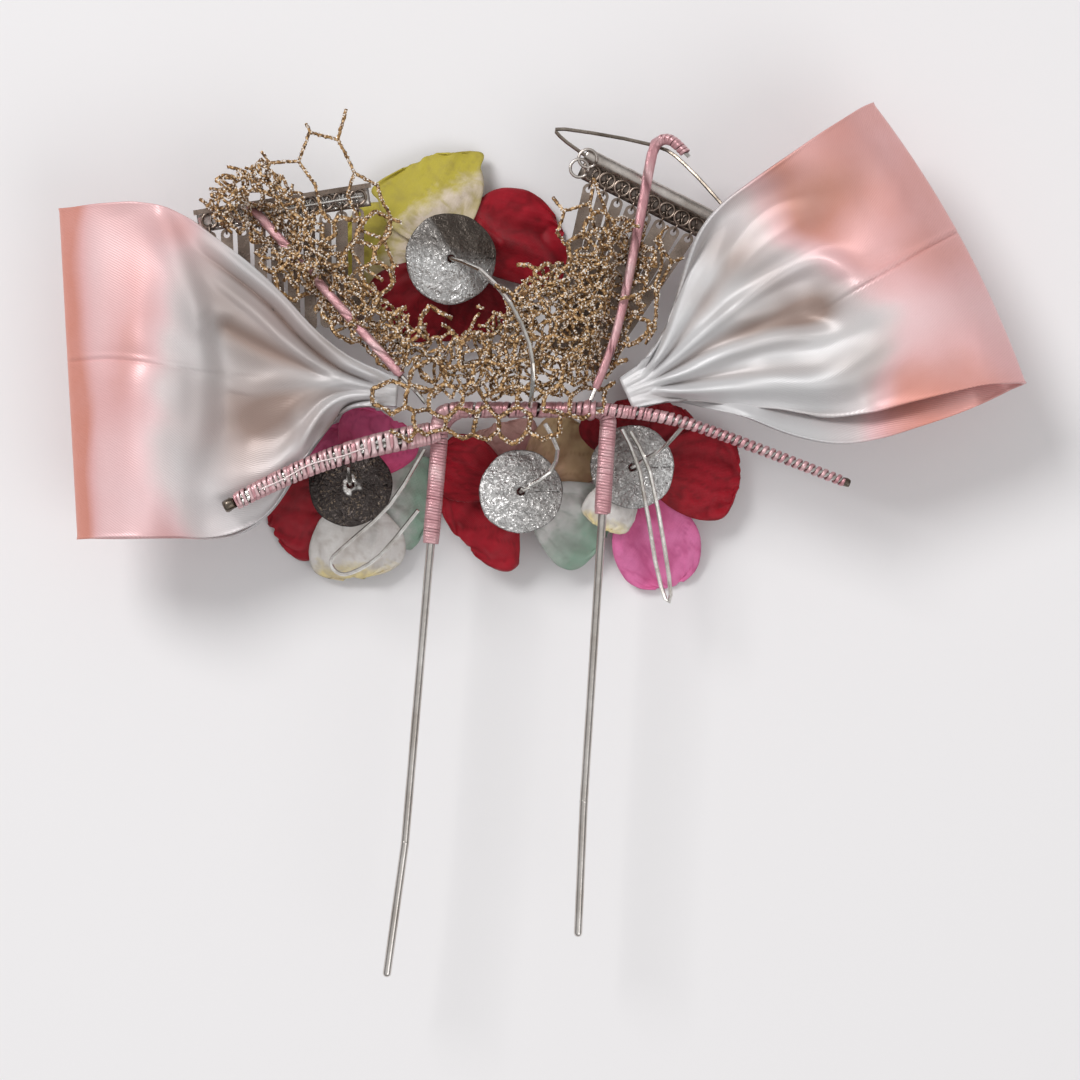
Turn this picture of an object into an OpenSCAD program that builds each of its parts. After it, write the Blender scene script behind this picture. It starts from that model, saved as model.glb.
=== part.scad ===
// Two-pronged ornamental hairpin with two satin bow loops, four cloth flowers, a coarse
// net and two fans of metal streamers. It lies with its hair side up: +X is to the right,
// -Y is along the prongs and +Z is towards the hair. The floor is Z = 0.

/* [Hairpin] */
// Thickness of the steel wire that the hairpin is bent from
prong_d = 1.6; // [1.3:0.1:2]
// Distance between the two prongs where they join the bar
prong_gap = 32; // [30:1:34]
// Length of the left prong from the bar to its kink
left_prong = 82.5; // [60:0.5:95]
// Length of the right prong from the bar to its kink
right_prong = 74.5; // [60:0.5:90]
// Length of the straight tip below each kink
tip_length = 25; // [12:1:30]
// Radius of the bend between the left prong and the bar, to the middle of the wire
left_bend = 5; // [4:0.5:6]
// Radius of the bend between the right prong and the bar, to the middle of the wire
right_bend = 2.4; // [2.2:0.1:3]
// Height of the hairpin wire above the floor
pin_height = 22.2; // [21:0.1:24]

/* [Thread wraps] */
// Thickness of the silk thread layer on a wire
thread = 0.75; // [0.4:0.05:0.9]
// Length of the wrap on the left prong
left_wrap = 20; // [10:1:30]
// Length of the wrap on the right prong
right_wrap = 17; // [10:1:30]
// Clearance between a wrap and the wire inside it
slack = 0.1; // [0.05:0.01:0.15]

/* [Arms] */
// Thickness of one strand of an arm
strand_d = 1.1; // [0.8:0.05:1.2]
// Length of the straight wrapped stretch of the left arm
left_arm = 39.5; // [25:0.5:45]
// Length of the wrapped right arm past its bend
right_arm = 31; // [20:1:40]
// Height of the arms above the hairpin wire
arm_rise = 2.8; // [2.6:0.1:3.2]

/* [Bow loops] */
// Width of the satin ribbon
ribbon = 62; // [50:1:66]
// Thickness of the ribbon's cloth
satin = 1; // [1:0.05:1.2]
// Length of the left loop from its gather to its fold
left_loop = 62.5; // [50:0.5:66]
// Length of the right loop from its gather to its fold
right_loop = 70; // [56:0.5:74]
// Rise of a loop's upper layer above its gather
loop_rise = 10; // [9:0.5:11]
// Depth of the pleats at their deepest
pleat_depth = 1.6; // [0.8:0.1:1.8]

/* [Flowers] */
// Diameter of the foil disc behind a flower
disc_d = 16; // [12:0.5:17]
// Thickness of the foil disc
foil = 0.4; // [0.3:0.05:0.6]
// Thickness of a petal's cloth
petal_cloth = 1; // [1:0.05:1.2]
// Thickness of a flower's stem wire
stem_d = 0.9; // [0.6:0.05:1.1]
// Height of the foil discs above the floor
disc_height = 16; // [15.5:0.1:16.5]

/* [Net] */
// Width of one cell of the net
cell = 5.3; // [5:0.1:5.4]
// Width of the net's strands
strand_w = 1; // [0.7:0.05:1.3]
// Thickness of the net's strands
strand_t = 0.8; // [0.5:0.05:1]

/* [Streamer fans] */
// Outer diameter of a ring on a fan's bar
ring_d = 3.5; // [3.2:0.1:3.7]
// Thickness of the wire of the rings
ring_wire = 0.6; // [0.4:0.05:0.7]
// Distance between two neighbouring rings
ring_pitch = 3.2; // [3.1:0.05:3.3]
// Width of one metal streamer
streamer_w = 2.3; // [1.6:0.1:2.4]
// Thickness of one metal streamer
streamer_t = 0.3; // [0.2:0.05:0.4]
// Length of the streamers of the left fan
left_streamer = 22; // [15:0.5:24]
// Length of the streamers of the right fan
right_streamer = 32; // [20:0.5:34]
// Drop of the fans below the hairpin wire
fan_drop = 7.2; // [6.8:0.1:7.7]

/* [Hidden] */
$fn = 48;

// Plan of the hairpin: the middle of its bar, and how far the prongs lean and kink
bar_middle = [-3.5, 24.6];
left_lean = 4.9;
right_lean = 3.7;
left_kink = 3;
right_kink = -1.2;
arm_z = pin_height + arm_rise;
fan_height = pin_height - fan_drop;
wrap_d = prong_d + 2 * thread;
bar_left = bar_middle - [prong_gap / 2, 0];
bar_right = bar_middle + [prong_gap / 2, 0];

// Shared geometry helpers
function lerp(a, b, t) = a + (b - a) * t;
function unit(v) = v / norm(v);
function toward(angle) = [cos(angle), sin(angle)];
function raise(p, z) = [p[0], p[1], z];
function flat_list(rows) = [for (row = rows) for (item = row) item];
function spline_at(a, b, c, d, t) =
  0.5 * (2 * b + (c - a) * t + (2 * a - 5 * b + 4 * c - d) * t * t + (3 * b - a - 3 * c + d) * t * t * t);
function smooth(points, steps) =
  let (last = len(points) - 1)
  concat(
    [for (i = [0 : last - 1]) for (k = [0 : steps - 1])
      spline_at(points[max(i - 1, 0)], points[i], points[i + 1], points[min(i + 2, last)], k / steps)],
    [points[last]]
  );
function quad(a, b, c, d) = [[a, b, c], [a, c, d]];
function heading_at(path, i) = unit(path[min(i + 1, len(path) - 1)] - path[max(i - 1, 0)]);
function ring_points(centre, along, up, r, sides) =
  let (side = unit(cross(along, up)), over = cross(side, along))
  [for (k = [0 : sides - 1]) centre + r * (cos(360 * k / sides) * side + sin(360 * k / sides) * over)];
function tube_rings(path, r, up, sides) =
  flat_list([for (i = [0 : len(path) - 1]) ring_points(path[i], heading_at(path, i), up, r, sides)]);

// A solid wire swept along a path
module wire(path, d, up = [0, 0, 1], sides = 6) {
  last = len(path) - 1;
  walls = [for (i = [0 : last - 1]) for (k = [0 : sides - 1])
    let (n = (k + 1) % sides)
    each quad(i * sides + k, (i + 1) * sides + k, (i + 1) * sides + n, i * sides + n)];
  caps = [[for (k = [0 : sides - 1]) k], [for (k = [sides - 1 : -1 : 0]) last * sides + k]];
  polyhedron(tube_rings(path, d / 2, up, sides), concat(walls, caps), convexity = 10);
}

// A hollow sleeve swept along a path
module sleeve(path, outer_d, inner_d, up = [0, 0, 1], sides = 10) {
  last = len(path) - 1;
  inner = len(path) * sides;
  walls = [for (i = [0 : last - 1]) for (k = [0 : sides - 1])
    let (
      n = (k + 1) % sides,
      a = i * sides + k,
      b = (i + 1) * sides + k,
      c = (i + 1) * sides + n,
      d = i * sides + n
    )
    each concat(quad(a, b, c, d), quad(inner + d, inner + c, inner + b, inner + a))];
  ends = [for (k = [0 : sides - 1])
    let (n = (k + 1) % sides, z = last * sides)
    each concat(quad(k, n, inner + n, inner + k), quad(z + n, z + k, inner + z + k, inner + z + n))];
  points = concat(tube_rings(path, outer_d / 2, up, sides), tube_rings(path, inner_d / 2, up, sides));
  polyhedron(points, concat(walls, ends), convexity = 10);
}

// A sheet of cloth with a wall of even thickness around a grid of points
module sheet(grid, wall) {
  m = len(grid) - 1;
  n = len(grid[0]) - 1;
  function normal(i, j) = unit(cross(
    grid[min(i + 1, m)][j] - grid[max(i - 1, 0)][j],
    grid[i][min(j + 1, n)] - grid[i][max(j - 1, 0)]));
  function skin(side) = [for (i = [0 : m]) for (j = [0 : n]) grid[i][j] + side * wall / 2 * normal(i, j)];
  function t(i, j) = i * (n + 1) + j;
  function b(i, j) = (m + 1) * (n + 1) + t(i, j);
  faces = [for (i = [0 : m - 1]) for (j = [0 : n - 1])
    each concat(
      quad(t(i, j), t(i, j + 1), t(i + 1, j + 1), t(i + 1, j)),
      quad(b(i, j), b(i + 1, j), b(i + 1, j + 1), b(i, j + 1)))];
  ends = [for (j = [0 : n - 1])
    each concat(
      quad(t(0, j + 1), t(0, j), b(0, j), b(0, j + 1)),
      quad(t(m, j), t(m, j + 1), b(m, j + 1), b(m, j)))];
  sides = [for (i = [0 : m - 1])
    each concat(
      quad(t(i, 0), t(i + 1, 0), b(i + 1, 0), b(i, 0)),
      quad(t(i + 1, n), t(i, n), b(i, n), b(i + 1, n)))];
  polyhedron(concat(skin(1), skin(-1)), concat(faces, ends, sides), convexity = 20);
}

// A straight round rod between two points
module rod(a, b, d) {
  way = b - a;
  translate(a)
    rotate([0, acos(way[2] / norm(way)), atan2(way[1], way[0])])
      cylinder(d = d, h = norm(way));
}

// Hairpin: one steel wire bent into two prongs and a bar
joint_swell = 0.06;
tip_relief = 0.02;
left_root = bar_left - [0, left_bend];
right_root = bar_right - [0, right_bend];
left_knee = left_root + (left_prong - left_bend) * toward(-90 - left_lean);
right_knee = right_root + (right_prong - right_bend) * toward(-90 - right_lean);
left_tip = left_knee + tip_length * toward(-90 - left_lean - left_kink);
right_tip = right_knee + tip_length * toward(-90 - right_lean - right_kink);
bar_start = bar_left + [left_bend, 0];
bar_end = bar_right - [right_bend, 0];
module pin_stretch(a, b) { rod(raise(a, pin_height), raise(b, pin_height), prong_d); }
module pin_joint(p) { translate(raise(p, pin_height)) sphere(d = prong_d + joint_swell); }
module pin_bend(centre, r, from) {
  translate(raise(centre, pin_height))
    rotate(from)
      rotate_extrude(angle = 90) translate([r, 0]) circle(d = prong_d);
}
module pin_tip(tip) { translate(raise(tip, pin_height)) sphere(d = prong_d - tip_relief); }
module hairpin() {
  color("silver") {
    pin_stretch(left_tip, left_knee);
    pin_stretch(left_knee, left_root);
    pin_stretch(bar_start, bar_end);
    pin_stretch(right_root, right_knee);
    pin_stretch(right_knee, right_tip);
    pin_bend(left_root + [left_bend, 0], left_bend, 90);
    pin_bend(right_root - [right_bend, 0], right_bend, 0);
    for (p = [left_knee, left_root, bar_start, bar_end, right_root, right_knee]) pin_joint(p);
    pin_tip(left_tip);
    pin_tip(right_tip);
  }
}

// Silk thread wraps on the hairpin
bar_wrap_left = bar_left[0] + left_bend - 1.5;
bar_wrap_right = bar_right[0] - right_bend;
module prong_wrap(root, lean, length) {
  way = toward(-90 - lean);
  bore = prong_d + 2 * slack;
  color("lightpink")
    translate(raise(root + 0.4 * way, pin_height))
      rotate([0, 90, -90 - lean])
        difference() {
          cylinder(d = wrap_d, h = length);
          translate([0, 0, -1]) cylinder(d = bore, h = length + 2);
        }
}
module left_prong_wrap() { prong_wrap(left_root, left_lean, left_wrap); }
module right_prong_wrap() { prong_wrap(right_root, right_lean, right_wrap); }

// The wrap on the bar is an oblong tube around the hairpin wire and the arm wires above it
module oblong(width, rise) {
  translate([-rise / 2, 0]) circle(d = width);
  translate([rise / 2, 0]) circle(d = width);
  square([rise, width], center = true);
}
bar_bore = 2 * strand_d + 2 * slack;
bar_wrap_d = bar_bore + thread;
bar_wrap_top = arm_z + bar_wrap_d / 2;
module bar_wrap() {
  length = bar_wrap_right - bar_wrap_left;
  color("lightpink")
    translate([bar_wrap_left, bar_middle[1], (pin_height + arm_z) / 2])
      rotate([0, 90, 0])
        difference() {
          linear_extrude(length) oblong(bar_wrap_d, arm_rise);
          translate([0, 0, -1]) linear_extrude(length + 2) oblong(bar_bore, arm_rise);
        }
}

// Arms: silver wires that run through the bar wrap and stick out to both sides
left_arm_lean = 18.9;
left_arm_start = bar_left + [-2, -4.9];
left_arm_end = left_arm_start + left_arm * toward(180 + left_arm_lean);
arm_step = strand_d / 2;
module left_arm_wires() {
  inner = [left_arm_start, bar_left + [1.2, -1.6], bar_left + [3.6, 0], bar_middle + [-4, 0]];
  route = concat([left_arm_end - toward(left_arm_lean)], smooth(inner, 3));
  color("silver")
    for (side = [-1, 1])
      wire([for (p = route) raise(p, arm_z) + side * (arm_step + slack / 2) * [0, 1, 0]], strand_d);
}
module left_arm_wrap() {
  color("lightpink")
    translate(raise(left_arm_start, arm_z))
      rotate([0, 0, 180 + left_arm_lean])
        rotate([90, 0, 90])
          difference() {
            linear_extrude(left_arm - 0.8) oblong(strand_d + 2 * thread, 1.5 * strand_d);
            translate([0, 0, -1]) linear_extrude(left_arm + 1) oblong(strand_d + 2 * slack, 1.5 * strand_d);
          }
}
right_arm_lean = 20.5;
right_arm_bend = bar_right + [15.6, -2.8];
right_arm_end = right_arm_bend + right_arm * toward(-right_arm_lean);
right_arm_way = smooth([bar_middle + [5, 0], bar_right + [-2.5, 0], bar_right + [1, -0.2],
  right_arm_bend, right_arm_end], 4);
module right_arm_wire() {
  color("silver") wire([for (p = right_arm_way) raise(p, arm_z)], strand_d, sides = 8);
}
module right_arm_wrap() {
  path = [for (p = right_arm_way) if (p[0] > bar_right[0]) raise(p, arm_z)];
  color("lightpink") sleeve(path, strand_d + 1.8 * thread, strand_d + 3 * slack);
}

// Bow loops: a ribbon goes out from its gather to a fold and comes back below itself.
// Each row is a section across the ribbon. Columns: place along the loop (share of its
// length), top edge, bottom edge of the upper layer and of the lower layer (shares of half
// the ribbon), height of the upper layer at its top and bottom edge, height of the lower
// layer at both edges (shares of the rise), and pleat depth (share).
left_sections = [
  [0.00, 0.09, -0.09, -0.09,  0.20,  0.15, -0.20, -0.22, 0.05],
  [0.09, 0.13, -0.10, -0.10,  0.25,  0.12, -0.20, -0.28, 0.08],
  [0.17, 0.20, -0.16, -0.16,  0.32,  0.05, -0.22, -0.34, 0.20],
  [0.26, 0.33, -0.42, -0.42,  0.45, -0.05, -0.25, -0.42, 0.50],
  [0.36, 0.52, -0.78, -0.78,  0.58, -0.22, -0.30, -0.54, 0.55],
  [0.46, 0.69, -0.93, -0.95,  0.72, -0.26, -0.38, -0.66, 0.55],
  [0.56, 0.83, -0.99, -1.00,  0.85, -0.18, -0.46, -0.76, 0.50],
  [0.66, 0.95, -1.00, -1.01,  0.92,  0.20, -0.52, -0.85, 0.45],
  [0.77, 1.00, -1.02, -1.03,  0.85,  0.50, -0.55, -0.90, 0.35],
  [0.88, 0.98, -1.04, -1.05,  0.55,  0.35, -0.50, -0.80, 0.20],
  [0.96, 0.95, -1.06, -1.06,  0.18,  0.08, -0.35, -0.55, 0.10],
  [1.00, 0.94, -1.07, -1.07, -0.10, -0.22, -0.10, -0.22, 0.00]
];
right_sections = [
  [0.00, 0.09, -0.11, -0.12,  0.20,  0.15, -0.20, -0.25, 0.05],
  [0.10, 0.14, -0.17, -0.17,  0.25,  0.18, -0.22, -0.32, 0.08],
  [0.18, 0.26, -0.25, -0.30,  0.35,  0.22, -0.25, -0.40, 0.20],
  [0.26, 0.44, -0.37, -0.45,  0.48,  0.28, -0.28, -0.48, 0.50],
  [0.36, 0.66, -0.50, -0.68,  0.62,  0.35, -0.32, -0.58, 0.80],
  [0.46, 0.77, -0.66, -0.84,  0.75,  0.42, -0.38, -0.68, 0.90],
  [0.57, 0.82, -0.75, -0.92,  0.88,  0.50, -0.46, -0.78, 0.80],
  [0.68, 0.86, -0.80, -0.96,  0.95,  0.52, -0.54, -0.85, 0.60],
  [0.79, 0.90, -0.85, -0.99,  0.90,  0.48, -0.58, -0.85, 0.40],
  [0.89, 0.93, -0.90, -1.00,  0.65,  0.35, -0.50, -0.75, 0.20],
  [0.96, 0.95, -0.96, -1.00,  0.25,  0.12, -0.32, -0.50, 0.10],
  [1.00, 0.95, -1.00, -1.00, -0.05, -0.18, -0.05, -0.18, 0.00]
];
// Dents and ridges of a layer. Columns: layer (1 is the upper one), place along and
// across the loop, reach along and across, and height (share of the rise).
left_dents = [
  [ 1, 0.72,  0.10, 0.10, 0.55,  0.22],
  [ 1, 0.52, -0.10, 0.11, 0.40, -0.34],
  [ 1, 0.90,  0.06, 0.20, 0.07, -0.14],
  [-1, 0.70, -0.20, 0.24, 0.55, -0.28]
];
right_dents = [
  [ 1, 0.55, -0.05, 0.10, 0.30, -0.36],
  [ 1, 0.72,  0.45, 0.14, 0.28, -0.22],
  [ 1, 0.84,  0.02, 0.22, 0.06, -0.14],
  [ 1, 0.36,  0.15, 0.14, 0.22,  0.14],
  [-1, 0.66, -0.25, 0.22, 0.50, -0.26]
];
pleats = 3.5;
across_steps = 14;
function dent_at(dents, layer, along, across) = [for (d = dents)
  if (d[0] == layer) d[5] * exp(-pow((along - d[1]) / d[3], 2) - pow((across - d[2]) / d[4], 2))];
function total(list, i = 0) = i < len(list) ? list[i] + total(list, i + 1) : 0;
function loop_point(row, dents, layer, across, length, skew, swell) =
  let (
    t = (across + 1) / 2,
    bottom = layer > 0 ? row[2] : row[3],
    height = layer > 0 ? lerp(row[5], row[4], t) : lerp(row[7], row[6], t),
    fade = row[0] * row[0],
    pleat = pleat_depth * row[8] * cos(180 * pleats * across + 40 * layer)
  )
  [
    row[0] * length + fade * (skew * across - swell * across * across),
    lerp(bottom, row[1], t) * ribbon / 2,
    loop_rise * (height + total(dent_at(dents, layer, row[0], across)) * sin(180 * row[0])) + pleat
  ];
function loop_grid(sections, dents, length, skew, swell) =
  let (
    last = len(sections) - 1,
    order = concat([for (i = [0 : last]) [i, 1]], [for (i = [last - 1 : -1 : 0]) [i, -1]])
  )
  [for (s = order) [for (j = [0 : across_steps])
    loop_point(sections[s[0]], dents, s[1], 2 * j / across_steps - 1, length, skew, swell)]];
loop_z = pin_height + 1.3;
left_gather = bar_left + [-8, 3.4];
right_gather = bar_right + [3.2, 3.4];
left_loop_turn = 175;
right_loop_turn = 25.3;
module left_bow_loop() {
  color("lightsalmon")
    translate(raise(left_gather, loop_z))
      rotate(left_loop_turn)
        mirror([0, 1, 0])
          sheet(loop_grid(left_sections, left_dents, left_loop, 4.4, 0), satin);
}
module right_bow_loop() {
  color("lightsalmon")
    translate(raise(right_gather, loop_z))
      rotate(right_loop_turn)
        sheet(loop_grid(right_sections, right_dents, right_loop, -1.8, 2.4), satin);
}

// Net: six-sided cells, laid out like bricks. Columns: row, first cell, last cell.
net_spans = [
  [0, 7, 12], [1, 6, 13], [2, 7, 14], [3, 6, 14], [4, 5, 15], [5, 4, 14],
  [6, 3, 7], [6, 11, 15], [7, 2, 5], [7, 13, 15], [8, 2, 6], [8, 14, 15],
  [9, 0, 6], [9, 13, 13], [10, 1, 2], [10, 4, 5], [11, 3, 4], [12, 4, 4]
];
// Height of the net above the bar wrap at each row of its knots, from the bar upward
net_lift = [0.4, 1.3, 1.8, 1.7, 1.0, 0.4, 0, -0.2, -0.6, -1, -1.6, -2.4, -3.4, -4];
net_columns = 36;
net_ruffle = 0.45;
net_rows = len(net_lift);
cell_side = cell / sqrt(3);
net_corner = bar_left + [-46.5, -5.1];
net_z = bar_wrap_top + 0.4;
function net_knot(c, r) =
  let (
    zigzag = ((c + r) % 2 == 0 ? 1 : -1) * cell_side / 4,
    x = c * cell / 2,
    y = r * 1.5 * cell_side + zigzag
  )
  [net_corner[0] + x, net_corner[1] + y, net_z + net_lift[r] + net_ruffle * sin(75 * c) * cos(50 * r)];
net_cells = flat_list([for (s = net_spans) [for (i = [s[1] : s[2]]) [2 * i + s[0] % 2, s[0]]]]);
function net_has(c, r) = len([for (s = net_spans)
  if (s[0] == r && 2 * s[1] + r % 2 <= c && c <= 2 * s[2] + r % 2) 1]) > 0;
function cell_corners(c, r) = [[c, r], [c + 1, r], [c + 2, r], [c + 2, r + 1], [c + 1, r + 1], [c, r + 1]];
// The neighbour across each edge of a cell, in the order of the cell's corners
function cell_neighbours(c, r) =
  [[c - 1, r - 1], [c + 1, r - 1], [c + 2, r], [c + 1, r + 1], [c - 1, r + 1], [c - 2, r]];
function mean(points) = total_point(points) / len(points);
function total_point(points, i = 0) =
  i < len(points) - 1 ? points[i] + total_point(points, i + 1) : points[i];
module net() {
  knots = [for (r = [0 : net_rows - 1]) for (c = [0 : net_columns - 1]) net_knot(c, r)];
  inset = strand_w / cell;
  holes = flat_list([for (q = net_cells)
    let (corners = [for (k = cell_corners(q[0], q[1])) net_knot(k[0], k[1])], middle = mean(corners))
    [for (p = corners) lerp(p, middle, inset)]]);
  half = [0, 0, strand_t / 2];
  skin = concat(knots, holes);
  below = len(skin);
  function id(k) = k[1] * net_columns + k[0];
  faces = [for (q = [0 : len(net_cells) - 1])
    let (
      c = net_cells[q][0],
      r = net_cells[q][1],
      ids = [for (k = cell_corners(c, r)) id(k)],
      next = cell_neighbours(c, r),
      first = len(knots) + 6 * q
    )
    for (k = [0 : 5])
      let (n = (k + 1) % 6, a = ids[k], b = ids[n], hole_a = first + k, hole_b = first + n)
      each concat(
        quad(a, hole_a, hole_b, b),
        quad(below + a, below + b, below + hole_b, below + hole_a),
        quad(hole_a, below + hole_a, below + hole_b, hole_b),
        net_has(next[k][0], next[k][1]) ? [] : quad(a, b, below + b, below + a))];
  color("darkgoldenrod")
    polyhedron(concat([for (p = skin) p + half], [for (p = skin) p - half]), faces, convexity = 20);
}

// Support wires, wrapped with thread, carry the fans. Their ways are chosen points.
support_seat = 0.25;
left_support_way = [
  raise(bar_left + [-2.6, 1.2], arm_z), raise(bar_left + [-4.6, 3.6], arm_z + 0.3),
  raise(bar_left + [-7.2, 6.4], arm_z - 0.2), raise(bar_left + [-36.5, 39.4], fan_height + 2.6)
];
left_support_hook = raise(bar_left + [-38.2, 40.6], fan_height + 1.9);
right_support_way = [
  [bar_wrap_right - 1, bar_middle[1] + bar_wrap_d / 2 + support_seat, arm_z - 0.4],
  raise(bar_right + [1.6, 15], arm_z - 1),
  raise(bar_right + [6, 36], fan_height + 4.5), raise(bar_right + [8.4, 49], fan_height + 3.6)
];
right_support_hook = [
  raise(bar_right + [9.6, 51.2], fan_height + 4), raise(bar_right + [12, 51.4], fan_height + 5.6),
  raise(bar_right + [15.4, 48.2], fan_height + 6.6)
];
support_d = 0.8;
module left_support_wire() {
  color("silver") wire(concat(smooth(left_support_way, 3), [left_support_hook]), support_d);
}
module left_support_wrap() {
  color("lightpink") sleeve([left_support_way[2], left_support_way[3]], 1.6, support_d + 2 * slack);
}
module right_support_wire() {
  color("silver") wire(smooth(concat(right_support_way, right_support_hook), 4), support_d, sides = 8);
}
module right_support_wrap() {
  path = smooth(concat(right_support_way, right_support_hook), 4);
  color("lightpink")
    sleeve([for (i = [1 : len(path) - 2]) path[i]], 1.8, support_d + 3 * slack, sides = 8);
}
bail_d = 0.7;
bail_way = [
  raise(bar_right + [-4.4, 49], fan_height + 0.9), raise(bar_right + [-9.2, 52.6], fan_height + 1.4),
  raise(bar_right + [-8.2, 53.9], fan_height + 1.8), raise(bar_right + [8.6, 50.8], fan_height + 2.2),
  raise(bar_right + [14.6, 47], fan_height + 4), raise(bar_right + [22, 38.4], loop_z + 0.5)
];
module bail_wire() {
  color("silver") wire(smooth(bail_way, 3), bail_d);
}

// Streamer fans: a bar with a row of rings, each with a link and a flat metal streamer
ring_r = (ring_d - ring_wire) / 2;
link_wire = 0.4;
link_r = 1.1;
hole_d = 1.2;
link_gap = 0.16;
streamer_margin = 0.6;
link_x = ring_r - ring_wire / 2 - slack - link_wire / 2 + link_r;
hole_x = link_x + link_r - link_wire / 2 - link_gap + hole_d / 2;
module torus(r, d) { rotate_extrude() translate([r, 0]) circle(d = d); }
module fan_bar(rings, length, width, height) {
  seat = width / 2 + ring_r;
  color("gainsboro") {
    translate([-1.2, -width / 2, -height / 2]) cube([length, width, height]);
    for (i = [0 : rings - 1]) translate([(i + 0.5) * ring_pitch, -seat, 0]) torus(ring_r, ring_wire);
  }
}
module streamer(length) {
  stem = streamer_w / 2;
  difference() {
    translate([hole_x - hole_d / 2 - streamer_margin + stem, 0, -streamer_t / 2])
      linear_extrude(streamer_t)
        union() {
          circle(d = streamer_w);
          translate([0, -stem]) square([length - 2 * stem, streamer_w]);
          translate([length - 2 * stem, 0]) circle(d = streamer_w);
        }
    translate([hole_x, 0, -1]) cylinder(d = hole_d, h = 2);
  }
}
// turn is the swing of the first streamer away from the bar's square, gather is how much
// each next one swings back, and sag is the slope by which neighbours pass under each other
module streamers(rings, width, length, turn, gather, sag) {
  seat = width / 2 + ring_r;
  color("silver")
    for (i = [0 : rings - 1])
      translate([(i + 0.5) * ring_pitch, -seat, 0])
        rotate([0, 0, -90 + turn - gather * i]) {
          translate([link_x, 0, 0])
            rotate([90, 0, 0]) torus(link_r, link_wire);
          translate([hole_x, 0, 0])
            rotate([0, i % 2 == 0 ? sag : -sag, 0])
              translate([-hole_x, 0, 0]) streamer(length);
        }
}
left_fan_place = raise(bar_left + [-46.2, 38.2], fan_height);
left_fan_turn = 8.9;
left_fan_rings = 10;
left_rod_d = 0.9;
right_fan_place = raise(bar_right + [-3.2, 48.7], fan_height);
right_fan_turn = -26.6;
right_fan_rings = 8;
right_bar_w = 2.3;
right_bar_t = 0.9;
module on_left_fan() { translate(left_fan_place) rotate(left_fan_turn) children(); }
module on_right_fan() { translate(right_fan_place) rotate(right_fan_turn) children(); }
module left_fan_bar() {
  on_left_fan() fan_bar(left_fan_rings, left_fan_rings * ring_pitch + 2.4, left_rod_d, left_rod_d);
}
module left_streamers() {
  on_left_fan() streamers(left_fan_rings, left_rod_d, left_streamer, -6, 0.3, 2.5);
}
module right_fan_bar() {
  on_right_fan() fan_bar(right_fan_rings, right_fan_rings * ring_pitch + 2.4, right_bar_w, right_bar_t);
}
module right_streamers() {
  on_right_fan() streamers(right_fan_rings, right_bar_w, right_streamer, 14, 3.1, 2.5);
}

// Wire loops left over from binding
loop_wire_d = 0.8;
left_loop_way = [
  raise(left_root + [-2.9, -2.4], pin_height - 0.8), raise(left_root + [-9.6, -13], pin_height - 2.2),
  raise(left_root + [-18, -20.6], pin_height - 4.2), raise(left_root + [-20.9, -23.5], pin_height - 5.2),
  raise(left_root + [-19.9, -25.8], pin_height - 5.6), raise(left_root + [-17.1, -26], pin_height - 5.4),
  raise(left_root + [-11.4, -22.5], pin_height - 4.2), raise(left_root + [-4.2, -14], pin_height - 1.8)
];
right_loop_way = [
  raise(right_root + [2.6, -1.2], pin_height + 0.2), raise(right_root + [6, -9.2], pin_height - 0.6),
  raise(right_root + [9, -26.2], pin_height - 3.6), raise(right_root + [11, -33.6], pin_height - 5.2),
  raise(right_root + [12, -32.8], pin_height - 5.2), raise(right_root + [10.9, -24.4], pin_height - 3.6),
  raise(right_root + [7.9, -9.2], pin_height - 0.6), raise(right_root + [4.2, -1.6], pin_height + 0.4)
];
module left_wire_loop() { color("silver") wire(smooth(left_loop_way, 3), loop_wire_d); }
module right_wire_loop() { color("silver") wire(smooth(right_loop_way, 2), loop_wire_d); }

// Flowers. Columns: place in plan, tilt of the disc about X and about Y, fall of the petals
// from their root to the longest tip, and length of the longest petal
flowers = [
  [bar_left + [2, 29.2], 4, 5, 12.55, 22],
  [bar_left + [-17.3, -14.1], -5, 3, 12.08, 18],
  [bar_left + [15.3, -15.4], -3, -3, 10.2, 18.5],
  [bar_left + [36.7, -10.8], 4, -3, 12.64, 24]
];
TOP = 0;
LEFT = 1;
CENTRE = 2;
RIGHT = 3;
disc_dish = 0.6;
petal_drop = 2.2;
petal_tier = petal_cloth + 0.7;
disc_hole = stem_d + 0.6;
heart_d = 7;
heart_h = 2.6;
seat_gap = 0.3;
function lowest_tier(flower) = max([for (p = petals[flower]) p[3]]);
function heart_top(flower) =
  disc_height - petal_drop - lowest_tier(flower) * petal_tier - petal_cloth / 2 - seat_gap;
module disc(flower) {
  f = flowers[flower];
  color("darkgray")
    translate(raise(f[0], disc_height))
      rotate([f[1], f[2], 0])
        rotate_extrude()
          polygon([
            [disc_hole / 2, 0], [disc_d / 4, -disc_dish / 4], [disc_d / 2, -disc_dish],
            [disc_d / 2, -disc_dish - foil], [disc_d / 4, -disc_dish / 4 - foil], [disc_hole / 2, -foil]
          ]);
}
module top_disc() { disc(TOP); }
module left_disc() { disc(LEFT); }
module centre_disc() { disc(CENTRE); }
module right_disc() { disc(RIGHT); }

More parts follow.
